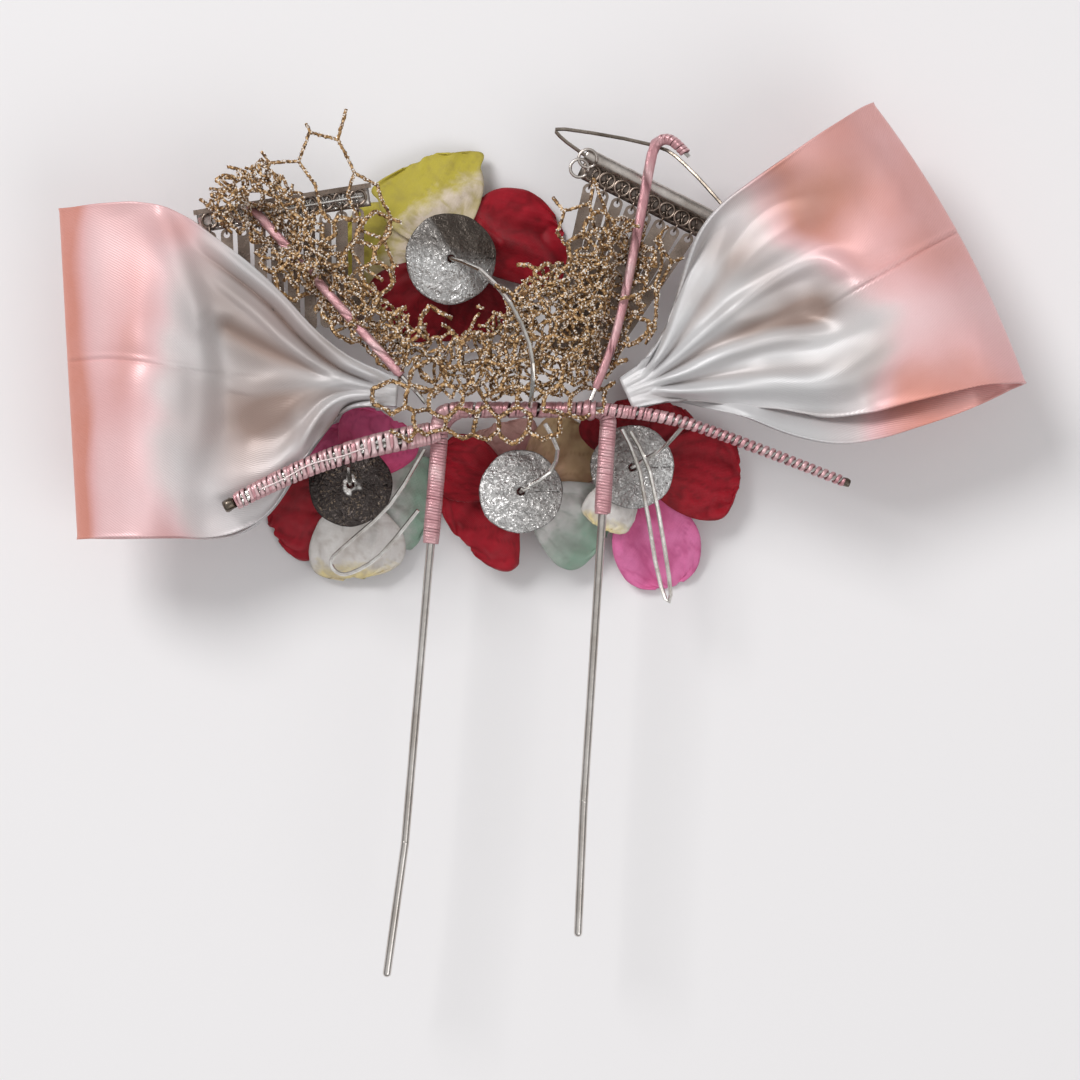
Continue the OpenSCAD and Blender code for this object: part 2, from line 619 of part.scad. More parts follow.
// Stems run from the bar or an arm down through the disc to the heart below the petals
function stem_foot(flower) = [for (z = [disc_height, heart_top(flower) - 1]) raise(flowers[flower][0], z)];
top_stem_way = [
  [bar_left[0] + 17.1, bar_middle[1] + 0.4, bar_wrap_top + 0.2 + stem_d / 2],
  raise(bar_left + [17.7, 5.4], bar_wrap_top + 3.6), raise(bar_left + [17.1, 12], bar_wrap_top + 4),
  raise(bar_left + [13.4, 20], bar_wrap_top + 2.6), raise(bar_left + [7.6, 26.8], disc_height + 3.6)
];
left_stem_way = [
  raise(bar_left + [-17.3, -10.6], arm_z - 2), raise(bar_left + [-17.3, -12.6], disc_height + 3.4)
];
centre_stem_way = [
  raise(bar_left + [20, -2.6], pin_height - 0.6), raise(bar_left + [22.4, -7.4], pin_height - 2.4),
  raise(bar_left + [21, -11.6], disc_height + 2.2), raise(bar_left + [17, -14.4], disc_height + 1.6)
];
right_stem_way = [
  raise(bar_left + [46, -3.4], arm_z - 1.8), raise(bar_left + [42.8, -6.9], pin_height - 1.8),
  raise(bar_left + [39, -9.4], disc_height + 2.2)
];
module stem(flower, way) {
  color("silver") wire(smooth(concat(way, stem_foot(flower)), 2), stem_d, up = [0.3, 0.2, 0.1]);
}
module top_stem() { stem(TOP, top_stem_way); }
module left_stem() { stem(LEFT, left_stem_way); }
module centre_stem() { stem(CENTRE, centre_stem_way); }
module right_stem() { stem(RIGHT, right_stem_way); }

// Hearts: plain buttons on the front side that hold the petals on the stem
module heart(flower) {
  color("khaki")
    translate(raise(flowers[flower][0], heart_top(flower) - heart_h))
      difference() {
        rotate_extrude()
          polygon([
            [0, 0], [heart_d / 4, 0], [heart_d / 2, heart_h / 2], [heart_d / 2.6, heart_h], [0, heart_h]
          ]);
        translate([0, 0, heart_h / 2]) cylinder(d = stem_d + 2 * slack, h = heart_h);
      }
}
module top_heart() { heart(TOP); }
module left_heart() { heart(LEFT); }
module centre_heart() { heart(CENTRE); }
module right_heart() { heart(RIGHT); }

// Petals. Columns: direction in plan, length, width, tier below the disc, upward curl of
// the rim, and colour. Neighbours lie in different tiers, so that they overlap in plan.
top_petals = [
  [108, 21, 21, 0, 1.6, "khaki"],
  [168, 22, 18, 1, 1.2, "khaki"],
  [ 26, 22, 21, 1, 1.4, "firebrick"],
  [224, 17, 16, 0, 0.8, "darkred"],
  [282, 15, 18, 1, 0.6, "darkred"]
];
left_petals = [
  [205, 18, 18, 1, 0.8, "firebrick"],
  [275, 18, 19, 0, 1.2, "beige"],
  [345, 16, 18, 1, 0.8, "honeydew"],
  [ 62, 15, 16, 0, 0.8, "mediumvioletred"],
  [128, 12, 14, 2, 0.6, "mediumvioletred"]
];
centre_petals = [
  [158, 17.5, 13, 0, 0.8, "firebrick"],
  [228, 16.5, 20, 1, 0.8, "firebrick"],
  [330, 18.5, 17, 0, 1.2, "honeydew"],
  [ 42, 17.5, 15, 1, 1.0, "tan"],
  [112, 14, 15, 2, 0.8, "thistle"]
];
right_petals = [
  [356, 21, 18, 0, 1.4, "firebrick"],
  [ 58, 15, 16, 1, 0.8, "darkred"],
  [112, 13, 14, 0, 0.8, "darkred"],
  [242, 13, 9, 0, 0.6, "beige"],
  [287, 24, 17, 1, 1.2, "hotpink"]
];
petals = [top_petals, left_petals, centre_petals, right_petals];
// Outline of every petal: place along its length and share of its width
petal_outline = [
  [0.00, 0.24], [0.16, 0.52], [0.34, 0.78], [0.52, 0.95],
  [0.70, 1.00], [0.85, 0.90], [0.95, 0.66], [1.00, 0.34]
];
petal_steps = 6;
petal_root = stem_d / 2 + 1.4;
petal_sector = 48;
petal_gap = 0.3;
function petal_point(flower, p, place, share, across) =
  let (
    out = lerp(petal_root, p[1], place),
    half = min(share * p[2] / 2, tan(petal_sector) * out - petal_gap),
    reach = norm([out, across * half]),
    fall = flower[3] * pow((reach - petal_root) / (flower[4] - petal_root), 1.5)
  )
  [out, across * half, p[4] * pow(place, 6) - p[3] * petal_tier - fall];
module petal(flower, i) {
  p = petals[flower][i];
  grid = [for (row = petal_outline) [for (j = [0 : petal_steps])
    petal_point(flowers[flower], p, row[0], row[1], 2 * j / petal_steps - 1)]];
  color(p[5])
    translate(raise(flowers[flower][0], disc_height - petal_drop))
      rotate(p[0]) sheet(grid, petal_cloth);
}

hairpin();
left_prong_wrap();
right_prong_wrap();
bar_wrap();
left_arm_wires();
left_arm_wrap();
right_arm_wire();
right_arm_wrap();
left_bow_loop();
right_bow_loop();
net();
left_support_wire();
left_support_wrap();
right_support_wire();
right_support_wrap();
bail_wire();
left_fan_bar();
left_streamers();
right_fan_bar();
right_streamers();
left_wire_loop();
right_wire_loop();
top_disc();
left_disc();
centre_disc();
right_disc();
top_stem();
left_stem();
centre_stem();
right_stem();
top_heart();
left_heart();
centre_heart();
right_heart();
petal(TOP, 0);  // top_petal_1
petal(TOP, 1);  // top_petal_2
petal(TOP, 2);  // top_petal_3
petal(TOP, 3);  // top_petal_4
petal(TOP, 4);  // top_petal_5
petal(LEFT, 0);  // left_petal_1
petal(LEFT, 1);  // left_petal_2
petal(LEFT, 2);  // left_petal_3
petal(LEFT, 3);  // left_petal_4
petal(LEFT, 4);  // left_petal_5
petal(CENTRE, 0);  // centre_petal_1
petal(CENTRE, 1);  // centre_petal_2
petal(CENTRE, 2);  // centre_petal_3
petal(CENTRE, 3);  // centre_petal_4
petal(CENTRE, 4);  // centre_petal_5
petal(RIGHT, 0);  // right_petal_1
petal(RIGHT, 1);  // right_petal_2
petal(RIGHT, 2);  // right_petal_3
petal(RIGHT, 3);  // right_petal_4
petal(RIGHT, 4);  // right_petal_5
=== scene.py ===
import math
import bpy
import numpy as np
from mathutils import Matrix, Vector


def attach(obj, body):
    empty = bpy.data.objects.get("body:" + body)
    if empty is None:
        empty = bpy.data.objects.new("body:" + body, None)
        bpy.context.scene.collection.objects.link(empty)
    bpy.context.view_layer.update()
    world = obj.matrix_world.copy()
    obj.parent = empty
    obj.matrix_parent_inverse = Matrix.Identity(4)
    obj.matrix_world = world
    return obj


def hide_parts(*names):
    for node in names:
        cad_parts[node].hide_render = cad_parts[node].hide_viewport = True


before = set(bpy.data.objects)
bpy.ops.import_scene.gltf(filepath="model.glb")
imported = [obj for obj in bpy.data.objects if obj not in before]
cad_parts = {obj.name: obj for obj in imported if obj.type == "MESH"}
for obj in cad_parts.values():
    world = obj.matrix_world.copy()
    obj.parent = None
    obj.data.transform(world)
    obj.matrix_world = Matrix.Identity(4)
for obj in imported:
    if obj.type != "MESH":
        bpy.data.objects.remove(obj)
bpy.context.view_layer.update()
MM = 0.001
TURN = 2 * math.pi
WELD_REACH = 0.00001
# The camera of the photograph: millimetres a pixel, the pixel at the origin, and its width in pixels
PX, PX_ORIGIN, PX_FRAME = 0.19, (542.5, 539.5), 1080


# Numbers and vectors
def unit(v):
    v = np.asarray(v, float)
    return v / np.maximum(np.linalg.norm(v, axis=-1, keepdims=True), 1e-12)


def mix(a, b, t):
    return a + (b - a) * t


def toward(degrees):
    return np.array([math.cos(math.radians(degrees)), math.sin(math.radians(degrees))])


def px(points):
    """Places named by their pixel in the photograph, and their height where it is given."""
    return np.array([[(x - PX_ORIGIN[0]) * PX, (PX_ORIGIN[1] - y) * PX, *z] for x, y, *z in points])


def ease(low, high, value):
    t = np.clip((value - low) / (high - low), 0, 1)
    return t * t * (3 - 2 * t)


def spline(points, steps):
    """A Catmull-Rom curve through the rows of points, which the solids use too."""
    p = np.asarray(points, float)
    last = len(p) - 1
    rows = []
    for i in range(last):
        a, b, c, d = p[max(i - 1, 0)], p[i], p[i + 1], p[min(i + 2, last)]
        for k in range(steps):
            t = k / steps
            rows.append(0.5 * (2 * b + (c - a) * t + (2 * a - 5 * b + 4 * c - d) * t * t
                               + (3 * b - a - 3 * c + d) * t ** 3))
    rows.append(p[last])
    return np.array(rows)


def resample(path, spacing):
    """Points at an even spacing along a path."""
    path = np.asarray(path, float)
    run = np.concatenate([[0], np.cumsum(np.linalg.norm(np.diff(path, axis=0), axis=1))])
    count = max(int(round(run[-1] / spacing)), 1)
    at = np.linspace(0, run[-1], count + 1)
    return np.stack([np.interp(at, run, path[:, k]) for k in range(3)], axis=1), at


def waves(place, seed, scale, octaves):
    """Smooth repeatable noise between about -1 and 1 from a few crossed sines. place is a value, or an
    array of them, for each of its directions."""
    draw = np.random.default_rng(seed)
    p = np.stack(np.broadcast_arrays(*place), axis=-1)
    total = np.zeros(p.shape[:-1])
    size, weight, norm = scale, 1.0, 0.0
    for _ in range(octaves):
        for _ in range(4):
            way = unit(draw.normal(size=p.shape[-1]))
            total += weight * np.sin((p @ way) * TURN / size * draw.uniform(0.7, 1.3) + draw.uniform(0, TURN))
            norm += weight * 0.5
        size *= 0.5
        weight *= 0.5
    return total / norm


def frames(path, up=(0, 0, 1)):
    """The directions across a path, to its side and over it, at each of its points."""
    path = np.asarray(path, float)
    heading = unit(np.gradient(path, axis=0))
    side = np.zeros_like(path)
    over = np.zeros_like(path)
    last = np.asarray(up, float)
    for i, h in enumerate(heading):
        s = np.cross(h, last)
        if np.linalg.norm(s) < 1e-6:
            s = np.cross(h, (1, 0, 0.3))
        side[i] = unit(s)
        over[i] = np.cross(side[i], h)
        last = over[i]
    return side, over


class Shape:
    """Collects points in millimetres, faces, and named values per point."""

    def __init__(self):
        self.points, self.faces, self.values, self.smooth = [], [], {}, []

    def add(self, points, faces, smooth=True, **values):
        first = len(self.points)
        self.points.extend(np.asarray(points, float).reshape(-1, 3).tolist())
        count = len(self.points) - first
        self.faces.extend([[first + k for k in f] for f in faces])
        self.smooth.extend([smooth] * len(faces))
        for key in sorted(set(values) | set(self.values)):
            column = self.values.setdefault(key, [0.0] * first)
            column.extend(np.broadcast_to(np.asarray(values.get(key, 0.0), float), (count,)).tolist())

    def tube(self, path, radius, sides=8, up=(0, 0, 1), squash=1.0, **values):
        """A closed tube along a path. radius is one number, or one for each point and side."""
        path = np.asarray(path, float)
        n = len(path)
        side, over = frames(path, up)
        turn = TURN * np.arange(sides)[None] / sides
        radius = np.asarray(radius, float)
        radius = radius if radius.ndim == 2 else np.broadcast_to(radius, (n,))[:, None]
        ring = path[:, None] + (radius * np.cos(turn))[..., None] * side[:, None] \
            + (radius * squash * np.sin(turn))[..., None] * over[:, None]
        faces = []
        for i in range(0, (n - 1) * sides, sides):
            for k in range(sides):
                m = (k + 1) % sides
                faces.append([i + k, i + m, i + sides + m, i + sides + k])
        faces += [list(range(sides - 1, -1, -1)), list(range((n - 1) * sides, n * sides))]
        values = {key: np.repeat(np.broadcast_to(v, (n,)), sides) for key, v in values.items()}
        self.add(ring, faces, **values)

    def sheet(self, grid, wall, **values):
        """A closed sheet about a grid of points. wall is one number, or one for each point."""
        m, n = grid.shape[0] - 1, grid.shape[1] - 1
        normal = unit(np.cross(np.gradient(grid, axis=0), np.gradient(grid, axis=1)))
        half = normal * (wall[..., None] if np.ndim(wall) else wall) / 2
        below = (m + 1) * (n + 1)
        faces = []
        for i in range(m):
            for j in range(n):
                a, b = i * (n + 1) + j, (i + 1) * (n + 1) + j
                faces.append([a, b, b + 1, a + 1])
                faces.append([below + a, below + a + 1, below + b + 1, below + b])
        for j in range(n):
            a, b = j, m * (n + 1) + j
            faces.append([a, a + 1, below + a + 1, below + a])
            faces.append([b + 1, b, below + b, below + b + 1])
        for i in range(m):
            a, b = i * (n + 1), (i + 1) * (n + 1)
            faces.append([b, a, below + a, below + b])
            faces.append([a + n, b + n, below + b + n, below + a + n])
        values = {key: np.tile(np.asarray(v, float).reshape(-1), 2) for key, v in values.items()}
        self.add([grid + half, grid - half], faces, **values)

    def make(self, name, material, slot, stands_for=None, welded=False):
        """The shape as a piece of the scene. Its values u and v lay out its cloth or thread."""
        mesh = bpy.data.meshes.new(name)
        mesh.from_pydata((np.array(self.points) * MM).tolist(), [], self.faces)
        mesh.polygons.foreach_set("use_smooth", self.smooth)
        for key, column in self.values.items():
            mesh.attributes.new(key, "FLOAT", "POINT").data.foreach_set("value", column)
        if "u" in self.values:
            index = np.zeros(len(mesh.loops), int)
            mesh.loops.foreach_get("vertex_index", index)
            pair = np.stack([np.array(self.values[k])[index] for k in ("u", "v")], axis=1)
            mesh.uv_layers.new(name="UVMap").data.foreach_set("uv", pair.ravel())
        mesh.materials.append(material)
        mesh.validate()
        mesh.update()
        piece = bpy.data.objects.new(name, mesh)
        bpy.context.scene.collection.objects.link(piece)
        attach(piece, "root")
        if welded:
            piece.modifiers.new("weld", "WELD").merge_threshold = WELD_REACH
        if stands_for:
            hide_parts(stands_for)
        return piece


# Materials: colours are given as in a picture, 0 to 255, and bump depths in metres
def linear(rgb):
    """A colour of 0 to 255 values as Blender's linear light."""
    c = np.asarray(rgb, float) / 255
    return tuple(np.where(c <= 0.04045, c / 12.92, ((c + 0.055) / 1.055) ** 2.4)) + (1.0,)


class Nodes:
    """A short way to build one material's nodes."""

    def __init__(self, name, **settings):
        self.material = bpy.data.materials.new(name)
        self.material.use_nodes = True
        self.tree = self.material.node_tree
        self.shader = self.tree.nodes["Principled BSDF"]
        for key, value in settings.items():
            self.shader.inputs[key.replace("_", " ")].default_value = value

    def node(self, kind, inputs=None, **settings):
        made = self.tree.nodes.new("ShaderNode" + kind)
        for key, value in settings.items():
            setattr(made, key, value)
        for key, value in (inputs or {}).items():
            self.feed(made.inputs[key], value)
        return made

    def feed(self, socket, value):
        if isinstance(value, bpy.types.NodeSocket):
            self.tree.links.new(value, socket)
        else:
            socket.default_value = linear(value) if socket.type == "RGBA" else value

    def to(self, name, value):
        self.feed(self.shader.inputs[name], value)

    def value(self, name):
        return self.node("Attribute", attribute_name=name).outputs["Fac"]

    def place(self):
        return self.node("TexCoord").outputs["Object"]

    def cloth(self):
        return self.node("UVMap", uv_map="UVMap").outputs["UV"]

    def noise(self, scale, detail, rough, vector=None, distortion=0.0):
        inputs = {"Vector": vector or self.place(), "Scale": scale, "Detail": detail,
                  "Roughness": rough, "Distortion": distortion}
        return self.node("TexNoise", inputs).outputs["Fac"]

    def ramp(self, fac, *stops):
        made = self.node("ValToRGB", {"Fac": fac})
        line = made.color_ramp.elements
        for i, (place, colour) in enumerate(stops):
            stop = line[i] if i < 2 else line.new(place)
            stop.position, stop.color = place, linear(colour)
        return made.outputs["Color"]

    def math(self, operation, a, b=0.5, clamp=False):
        made = self.node("Math", operation=operation, use_clamp=clamp)
        self.feed(made.inputs[0], a)
        self.feed(made.inputs[1], b)
        return made.outputs[0]

    def blend(self, fac, a, b, kind="MIX"):
        made = self.node("MixRGB", {"Fac": fac, "Color1": a, "Color2": b}, blend_type=kind)
        return made.outputs["Color"]

    def fit(self, value, low, high, to_low=0.0, to_high=1.0):
        inputs = {"Value": value, "From Min": low, "From Max": high, "To Min": to_low, "To Max": to_high}
        return self.node("MapRange", inputs).outputs["Result"]

    def bump(self, height, strength, distance, under=None):
        inputs = {"Height": height, "Strength": strength, "Distance": distance}
        if under:
            inputs["Normal"] = under
        return self.node("Bump", inputs).outputs["Normal"]


def metal(name, rgb, dark, rough, grain, depth):
    """Bare metal with a soft grain, tarnish patches and an uneven gloss."""
    n = Nodes(name, Metallic=1.0)
    patches = n.noise(grain * 0.25, 5.0, 0.6)
    fine = n.noise(grain * 3, 3.0, 0.6)
    n.to("Base Color", n.ramp(patches, (0.3, dark), (0.62, rgb)))
    n.to("Roughness", n.fit(fine, 0.3, 0.7, rough * 0.7, rough * 1.35))
    n.to("Normal", n.bump(n.noise(grain, 4.0, 0.6), 0.5, depth))
    return n.material


def silk_thread(name, rgb, light, pale):
    """Glossy silk: fine fibres, paler where it is worn."""
    n = Nodes(name, Roughness=0.42, Sheen_Weight=0.35, Sheen_Roughness=0.4, Specular_IOR_Level=0.55)
    fibre = n.noise(2600, 2.0, 0.5)
    colour = n.ramp(n.noise(160, 4.0, 0.6), (0.32, rgb), (0.55, light), (0.75, pale))
    n.to("Base Color", n.blend(n.fit(fibre, 0.35, 0.65, 0.0, 0.35), colour, rgb, "MULTIPLY"))
    n.to("Normal", n.bump(fibre, 0.5, 0.00008))
    return n.material


PAPER = (238, 236, 237)
STEEL = metal("prong_steel", (216, 211, 207), (180, 171, 163), 0.2, 300, 0.00001)
WIRE = metal("silver_wire", (232, 230, 226), (176, 168, 160), 0.20, 1200, 0.00002)
STRIP = metal("streamer_metal", (158, 143, 132), (104, 90, 80), 0.30, 500, 0.00002)
RAIL = metal("fan_rail", (206, 198, 192), (160, 150, 142), 0.30, 500, 0.00003)
BACKING = metal("streamer_backing", (150, 138, 130), (104, 92, 84), 0.36, 500, 0.00003)
DARK_WIRE = metal("tarnished_wire", (142, 132, 122), (88, 78, 68), 0.28, 900, 0.00003)
THREAD = silk_thread("pink_thread", (206, 120, 128), (228, 158, 160), (240, 200, 198))


def foil_material(name, rgb, dark, spots=None):
    """Crinkled silver foil: sharp little facets, with painted shade in the creases. The value tone darkens
    it, which on the top disc is a painted reflection, and bare shows the card's pale glue."""
    n = Nodes(name, Metallic=1.0)
    facets = n.noise(1000, 2.0, 0.5, distortion=1.4)
    fine = n.noise(2800, 2.0, 0.5)
    ridge = n.math("ABSOLUTE", n.math("SUBTRACT", n.noise(760, 2.0, 0.5, distortion=1.6), 0.5))
    # Painted shade along the creases of the crinkles.
    colour = n.blend(n.fit(ridge, 0.0, 0.05, 0.35, 0.0), rgb, dark)
    # The value tone darkens the foil: on the top disc this is a painted reflection.
    colour = n.blend(n.value("tone"), colour, dark)
    if spots:
        speckle = n.fit(n.noise(1900, 3.0, 0.7), 0.56, 0.62, 0.0, 0.7)
        patch = n.math("MULTIPLY", speckle, n.fit(n.noise(260, 2.0, 0.5), 0.4, 0.6))
        colour = n.blend(patch, colour, spots)
    n.to("Base Color", n.blend(n.value("bare"), colour, (232, 230, 226)))
    n.to("Roughness", n.fit(fine, 0.3, 0.7, 0.24, 0.42))
    creases = n.bump(n.math("POWER", ridge, 0.5), 0.5, 0.00012)
    n.to("Normal", n.bump(facets, 1.0, 0.00030, n.bump(fine, 0.4, 0.00005, creases)))
    return n.material


FOIL = foil_material("foil", (198, 197, 196), (92, 83, 76))
DARK_FOIL = foil_material("foil_dark", (72, 66, 64), (34, 31, 31), spots=(150, 132, 112))


def satin_material():
    """Satin ribbon: the dye runs from white to salmon, with painted shade that turns it taupe, over fine
    slanted twill lines.
    """
    n = Nodes("satin", Metallic=0.2, Roughness=0.4, Specular_IOR_Level=0.55, Sheen_Weight=0.12,
              Sheen_Roughness=0.35, Anisotropic=0.5)
    uneven = n.fit(n.noise(45, 4.0, 0.6), 0.3, 0.7, -0.05, 0.05)
    dye = n.math("ADD", n.value("dye"), uneven, clamp=True)
    colour = n.ramp(dye, (0.0, (212, 211, 212)), (0.25, (230, 216, 216)), (0.5, (243, 206, 208)),
                    (0.75, (238, 186, 186)), (1.0, (220, 146, 130)))
    # Painted shade: this darkens the satin towards taupe in the valleys of its folds and in its hollows.
    colour = n.blend(n.value("worn"), colour, (146, 118, 104))
    slanted = n.node("Mapping", {"Vector": n.cloth(), "Rotation": (0, 0, math.radians(-29))})
    twill = n.node("TexWave", {"Vector": slanted.outputs["Vector"], "Scale": 0.74, "Distortion": 1.5,
                               "Detail": 2.0, "Detail Scale": 2.0}, bands_direction="Y").outputs["Fac"]
    n.to("Base Color", n.blend(n.fit(twill, 0.0, 0.5, 0.09, 0.0), colour, (160, 124, 116)))
    n.to("Normal", n.bump(twill, 0.22, 0.00010, n.bump(n.noise(300, 3.0, 0.5), 0.12, 0.0002)))
    return n.material


SATIN = satin_material()


# Bow loops: the same sections and dents as the solids, with finer pleats. Columns: reach from the gather, top
# edge, bottom edge of the upper and the lower layer, heights of the upper layer at its top and bottom edges,
# the same of the lower layer, and depth of the pleats
RIBBON, LOOP_RISE, PLEAT = 62.0, 10.0, 1.6
LEFT_SECTIONS = np.array([
    [0.00, 0.09, -0.09, -0.09, 0.20, 0.15, -0.20, -0.22, 0.05],
    [0.09, 0.13, -0.10, -0.10, 0.25, 0.12, -0.20, -0.28, 0.08],
    [0.17, 0.20, -0.16, -0.16, 0.32, 0.05, -0.22, -0.34, 0.20],
    [0.26, 0.33, -0.42, -0.42, 0.45, -0.05, -0.25, -0.42, 0.50],
    [0.36, 0.52, -0.78, -0.78, 0.58, -0.22, -0.30, -0.54, 0.55],
    [0.46, 0.69, -0.93, -0.95, 0.72, -0.26, -0.38, -0.66, 0.55],
    [0.56, 0.83, -0.99, -1.00, 0.85, -0.18, -0.46, -0.76, 0.50],
    [0.66, 0.95, -1.00, -1.01, 0.92, 0.20, -0.52, -0.85, 0.45],
    [0.77, 1.00, -1.02, -1.03, 0.85, 0.50, -0.55, -0.90, 0.35],
    [0.88, 0.98, -1.04, -1.05, 0.55, 0.35, -0.50, -0.80, 0.20],
    [0.96, 0.95, -1.06, -1.06, 0.18, 0.08, -0.35, -0.55, 0.10],
    [1.00, 0.94, -1.07, -1.07, -0.10, -0.22, -0.10, -0.22, 0.00]])
RIGHT_SECTIONS = np.array([
    [0.00, 0.09, -0.11, -0.12, 0.20, 0.15, -0.20, -0.25, 0.05],
    [0.10, 0.14, -0.17, -0.17, 0.25, 0.18, -0.22, -0.32, 0.08],
    [0.18, 0.26, -0.25, -0.30, 0.35, 0.22, -0.25, -0.40, 0.20],
    [0.26, 0.44, -0.37, -0.45, 0.48, 0.28, -0.28, -0.48, 0.50],
    [0.36, 0.66, -0.50, -0.68, 0.62, 0.35, -0.32, -0.58, 0.80],
    [0.46, 0.77, -0.66, -0.84, 0.75, 0.42, -0.38, -0.68, 0.90],
    [0.57, 0.82, -0.75, -0.92, 0.88, 0.50, -0.46, -0.78, 0.80],
    [0.68, 0.86, -0.80, -0.96, 0.95, 0.52, -0.54, -0.85, 0.60],
    [0.79, 0.90, -0.85, -0.99, 0.90, 0.48, -0.58, -0.85, 0.40],
    [0.89, 0.93, -0.90, -1.00, 0.65, 0.35, -0.50, -0.75, 0.20],
    [0.96, 0.95, -0.96, -1.00, 0.25, 0.12, -0.32, -0.50, 0.10],
    [1.00, 0.95, -1.00, -1.00, -0.05, -0.18, -0.05, -0.18, 0.00]])
# Columns: layer (1 upper, -1 lower), reach, place across, spread along and across, and height
LEFT_DENTS = [(1, 0.72, 0.10, 0.10, 0.55, 0.22), (1, 0.52, -0.10, 0.11, 0.40, -0.34),
              (1, 0.90, 0.06, 0.20, 0.07, -0.14), (-1, 0.70, -0.20, 0.24, 0.55, -0.28)]
RIGHT_DENTS = [(1, 0.55, -0.05, 0.10, 0.30, -0.36), (1, 0.72, 0.45, 0.14, 0.28, -0.22),
               (1, 0.84, 0.02, 0.22, 0.06, -0.14), (1, 0.36, 0.15, 0.14, 0.22, 0.14),
               (-1, 0.66, -0.25, 0.22, 0.50, -0.26)]
BAR_LEFT, BAR_RIGHT = np.array([-19.5, 24.6]), np.array([12.5, 24.6])
PIN_Z = 22.2
LOOP_Z = PIN_Z + 1.3
PLEATS, PLEAT_SHIFT = 3.5, math.radians(40)
BOW_ACROSS, BOW_STEPS = 161, 9
SATIN_WALL, HEM_WALL, HEM_SHARE = 0.42, 0.34, 0.012


def loop_row(row, dents, layer, across, length, skew, swell):
    """One section of a loop's upper (1) or lower (-1) layer, from its bottom edge to its top edge."""
    reach, top, bottom, lower_bottom, high, low, lower_high, lower_low, pleated = row
    if layer < 0:
        bottom, high, low = lower_bottom, lower_high, lower_low
    t = (across + 1) / 2
    dent = sum(tall * np.exp(-((reach - at) / long) ** 2 - ((across - off) / wide) ** 2)
               for on, at, off, long, wide, tall in dents if on == layer)
    pleat = PLEAT * pleated * (1 - 0.8 * ease(0.5, 0.85, reach)) \
        * np.cos(math.pi * PLEATS * across + PLEAT_SHIFT * layer)
    return np.stack([
        reach * length + reach ** 2 * (skew * across - swell * across * across),
        mix(bottom, top, t) * RIBBON / 2,
        LOOP_RISE * (mix(low, high, t) + dent * math.sin(math.pi * reach)) + pleat], axis=-1)


def line_height(x, y, points, wide, tall):
    """Height of a soft ridge, or of a valley where tall is negative, along a line on the plan. wide
    and tall are a pair each, for the line's start and end."""
    way = spline(px(points), 5)
    best, at = np.full(x.shape, 1e9), np.zeros(x.shape)
    last = len(way) - 1
    for i in range(last):
        step = way[i + 1] - way[i]
        t = np.clip(((x - way[i][0]) * step[0] + (y - way[i][1]) * step[1]) / (step @ step), 0, 1)
        away = np.hypot(x - way[i][0] - t * step[0], y - way[i][1] - t * step[1])
        at = np.where(away < best, (i + t) / last, at)
        best = np.minimum(best, away)
    return mix(tall[0], tall[1], at) * np.exp(-(best / mix(wide[0], wide[1], at)) ** 2) \
        * ease(-0.02, 0.12, at) * (1 - ease(0.72, 1.0, at))


